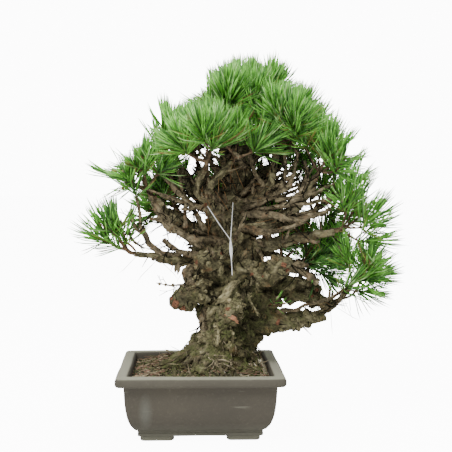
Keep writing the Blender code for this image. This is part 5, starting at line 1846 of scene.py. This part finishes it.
class PINE_OT_needles(bpy.types.Operator):
    """Sets pairs of long needles round every shoot, in greens dealt out by shoot"""

    bl_idname = "pine.needles"
    bl_label = "Needles"

    def execute(self, context):
        chosen = settings()
        young, old = chosen.young_and_lit_needle, chosen.old_and_shaded_needle
        middle = [(a + b) / 2 for a, b in zip(young, old)]
        finishes = [
            needle_finish("needles_young_and_lit", young),
            needle_finish("needles_green", middle),
            needle_finish("needles_deep_and_shaded", old),
            needle_finish("needles_painted_highlight", (0.44, 0.70, 0.27)),
            needle_finish("needles_yellow", (0.27, 0.27, 0.06), 0.55),
            needle_finish("needles_brown", (0.22, 0.12, 0.05), 0.7),
        ]
        masses = all_shoots()
        order = [mass[0] for mass in MASSES]
        for region, names in NEEDLE_REGIONS.items():
            heap = Heap()
            for name in names:
                index = order.index(name)
                rng = np.random.default_rng(4000 + index)
                for shoot in masses[index][1]:
                    tip = shoot[0][-1]
                    # painted light and shade: shoots high in the crown take lighter greens, and shoots low or
                    # behind the trunk deeper ones
                    light = (tip[2] - 0.40) * 3.0 - max(0.0, tip[1]) * 2.0
                    tone = int(np.clip(round(1.1 - light + rng.normal(0, 0.45)), YOUNG_AND_LIT, DEEP_AND_SHADED))
                    if rng.uniform() < max(tip[0] - 0.17, -0.08 - tip[0]) * 8:
                        tone = YOUNG_AND_LIT
                    base, way, bend, length, finish = needles_of(rng, shoot, tone)
                    fine = 0.85 if tip[0] > 0.17 else 1.0
                    blades(heap, base, way, bend, length, chosen.needle_radius * fine, finish)
            nodes = ["needles_apex" if name == "trunk" else f"needles_{name}" for name in names]
            heap.build(f"needles_{region}", finishes, nodes)
        heap = Heap()
        rng = np.random.default_rng(4500)
        for shoot, tone in lone_shoots():
            base, way, bend, length, finish = needles_of(rng, shoot, tone)
            size = 0.42 if shoot[2] < 12 else 1.0
            blades(heap, base, way, bend, length * size, chosen.needle_radius * (0.3 + 0.7 * size), finish)
        # old brown needles that have dropped and hang caught among the boughs
        for name in [limb[0] for limb in LIMBS if limb[0] not in STUBS]:
            line, radii = limb_line(PLANS[name], 40)
            at = rng.integers(8, 40, 12)
            base = line[at] + rng.normal(size=(12, 3)) * radii[at][:, None] * 0.6
            way = unit(rng.normal(size=(12, 3)) - UP * rng.uniform(0.2, 1.6, (12, 1)))
            bend = rng.normal(size=(12, 3)) * 0.2 - UP * 0.2
            blades(heap, base, way, bend, rng.uniform(35, 75, 12) * MM, 0.7 * MM, BROWN)
        heap.build("needles_apart", finishes)
        return {"FINISHED"}


# Tie


class PINE_OT_tie(bpy.types.Operator):
    """Hangs a thin white tie from two boughs: two strings that meet in a sleeve, with a tail below it"""

    bl_idname = "pine.tie"
    bl_label = "Tie"

    def execute(self, context):
        heap = Heap()
        meet = np.array([61, -104, 441]) * MM
        foot = np.array([65, -106, 366]) * MM
        left = np.array([12, -90, 512]) * MM
        right = np.array([68, -62, 520]) * MM
        sleeve_low = meet + (foot - meet) * 0.56
        for top in (left, right):
            string = curve_through([top, (top + meet) / 2 - UP * 1.5 * MM, meet], 24)
            plain_tube(heap, string, np.full(24, 0.8 * MM), 8)
        plain_tube(heap, curve_through([sleeve_low, foot], 20), np.full(20, 0.9 * MM), 8)
        t = np.linspace(0, 1, 30)
        belly = 1.3 + 2.2 * np.sin(math.pi * np.clip(t * 1.15 - 0.05, 0, 1)) ** 0.8
        plain_tube(heap, meet + (sleeve_low - meet) * t[:, None], belly * MM, 14, 1)
        string = speck_finish("tie_string", (0.98, 0.98, 0.94), 900.0, 0.7)
        sleeve = speck_finish("tie_sleeve", (0.98, 0.98, 0.95), 120.0, 0.45)
        heap.build("white_tie", [string, sleeve])
        return {"FINISHED"}


# Stage


def sight_lines(yaw, pitch, roll):
    """The camera's right, up and forward from its turn to the right, its rise and its roll."""
    forward = np.array([math.sin(yaw) * math.cos(pitch), math.cos(yaw) * math.cos(pitch), math.sin(pitch)])
    level = np.array([math.cos(yaw), -math.sin(yaw), 0.0])
    square = np.cross(level, forward)
    right = math.cos(roll) * level + math.sin(roll) * square
    return right, -math.sin(roll) * level + math.cos(roll) * square, forward


FLOOR_REACH = 40.0
SKY_LIGHT = 0.78  # the sky's strength as a light
SKY_GLOW, FLOOR_GLOW = 12.0, 11.0  # how bright the camera sees the sky and the floor
LIGHTS = (  # name, place, size and power
    ("key_light", (-0.9, -1.3, 2.2), 1.1, 52.0),
    ("top_light", (0.4, 0.1, 2.4), 1.4, 30.0),
)
LIGHTS_TARGET = np.array([0.0, 0.0, 0.45])


class PINE_OT_stage(bpy.types.Operator):
    """Lays a plain pale floor, hangs soft studio lights and sets the camera"""

    bl_idname = "pine.stage"
    bl_label = "Floor, lights and camera"

    def execute(self, context):
        scene = context.scene
        mesh = bpy.data.meshes.new("floor")
        corners = [(x * FLOOR_REACH, y * FLOOR_REACH, 0) for x, y in ((-1, -1), (1, -1), (1, 1), (-1, 1))]
        mesh.from_pydata(corners, [], [(0, 1, 2, 3)])
        floor = bpy.data.objects.new("floor", mesh)
        made, tree, shader, spot = new_finish("pale_floor", 0.9, 0.1)
        stops = [(0.3, (0.86, 0.86, 0.86, 1)), (0.7, (0.88, 0.88, 0.88, 1))]
        wire(tree, shader, ramp(tree, noise(tree, spot, 0.5, 1.0), stops))
        # the pale floor is lit up for the camera alone, so that it runs into the bright backdrop
        shader.inputs["Emission Color"].default_value = (1.0, 1.0, 1.0, 1)
        seen = put(tree, "ShaderNodeLightPath").outputs["Is Camera Ray"]
        tree.links.new(levels(tree, seen, 0.0, 1.0, 0.0, FLOOR_GLOW), shader.inputs["Emission Strength"])
        mesh.materials.append(made)
        scene.collection.objects.link(floor)

        world = bpy.data.worlds.new("soft_sky")
        world.use_nodes = True
        back = world.node_tree.nodes["Background"]
        back.inputs["Color"].default_value = (1.0, 1.0, 1.0, 1)
        seen = put(world.node_tree, "ShaderNodeLightPath").outputs["Is Camera Ray"]
        bright = levels(world.node_tree, seen, 0.0, 1.0, SKY_LIGHT, SKY_GLOW)
        world.node_tree.links.new(bright, back.inputs["Strength"])
        scene.world = world
        for name, place, size, power in LIGHTS:
            lamp = bpy.data.lights.new(name, "AREA")
            lamp.shape = "DISK"
            lamp.size = size
            lamp.energy = power
            light = bpy.data.objects.new(name, lamp)
            aim = unit(np.array(place) - LIGHTS_TARGET)
            across = unit(np.cross([0.0, 1.0, 0.01], aim))
            self.place(light, across, np.cross(aim, across), aim, np.array(place))
            scene.collection.objects.link(light)

        lens = bpy.data.cameras.new("camera")
        lens.lens = CAMERA_LENS
        lens.sensor_width = SENSOR_WIDTH
        lens.clip_start = 0.05
        lens.clip_end = 200.0
        camera = bpy.data.objects.new("camera", lens)
        right, up, forward = sight_lines(CAMERA_YAW, CAMERA_PITCH, CAMERA_ROLL)
        self.place(camera, right, up, -forward, CAMERA_PLACE + HOME)
        scene.collection.objects.link(camera)
        scene.camera = camera
        return {"FINISHED"}

    def place(self, thing, right, up, back, spot):
        """Stands a light or camera at a spot with its three axes."""
        rows = np.column_stack([right, up, back, spot])
        thing.matrix_world = Matrix([tuple(row) for row in rows] + [(0, 0, 0, 1)])


# Panel and run


OPERATORS = (
    PINE_OT_pot, PINE_OT_soil, PINE_OT_roots, PINE_OT_trunk, PINE_OT_boughs, PINE_OT_ridges, PINE_OT_scars,
    PINE_OT_twigs, PINE_OT_needles, PINE_OT_tie, PINE_OT_stage,
)


class PINE_PT_panel(bpy.types.Panel):
    """Lists the settings and the pieces in the 3D view's sidebar"""

    bl_idname = "PINE_PT_panel"
    bl_label = "Potted black pine"
    bl_space_type = "VIEW_3D"
    bl_region_type = "UI"
    bl_category = "Pine"

    def draw(self, context):
        for name in PineSettings.__annotations__:
            self.layout.prop(context.scene.pine_settings, name)
        for operator in OPERATORS:
            self.layout.operator(operator.bl_idname)


CLASSES = (PineSettings, *OPERATORS, PINE_PT_panel)


def register():
    for kind in CLASSES:
        bpy.utils.register_class(kind)
    bpy.types.Scene.pine_settings = bpy.props.PointerProperty(type=PineSettings)


def unregister():
    del bpy.types.Scene.pine_settings
    for kind in reversed(CLASSES):
        bpy.utils.unregister_class(kind)


def main():
    """Builds every piece and the stage."""
    register()
    for operator in OPERATORS:
        group, name = operator.bl_idname.split(".")
        getattr(getattr(bpy.ops, group), name)()


if __name__ == "__main__":
    main()
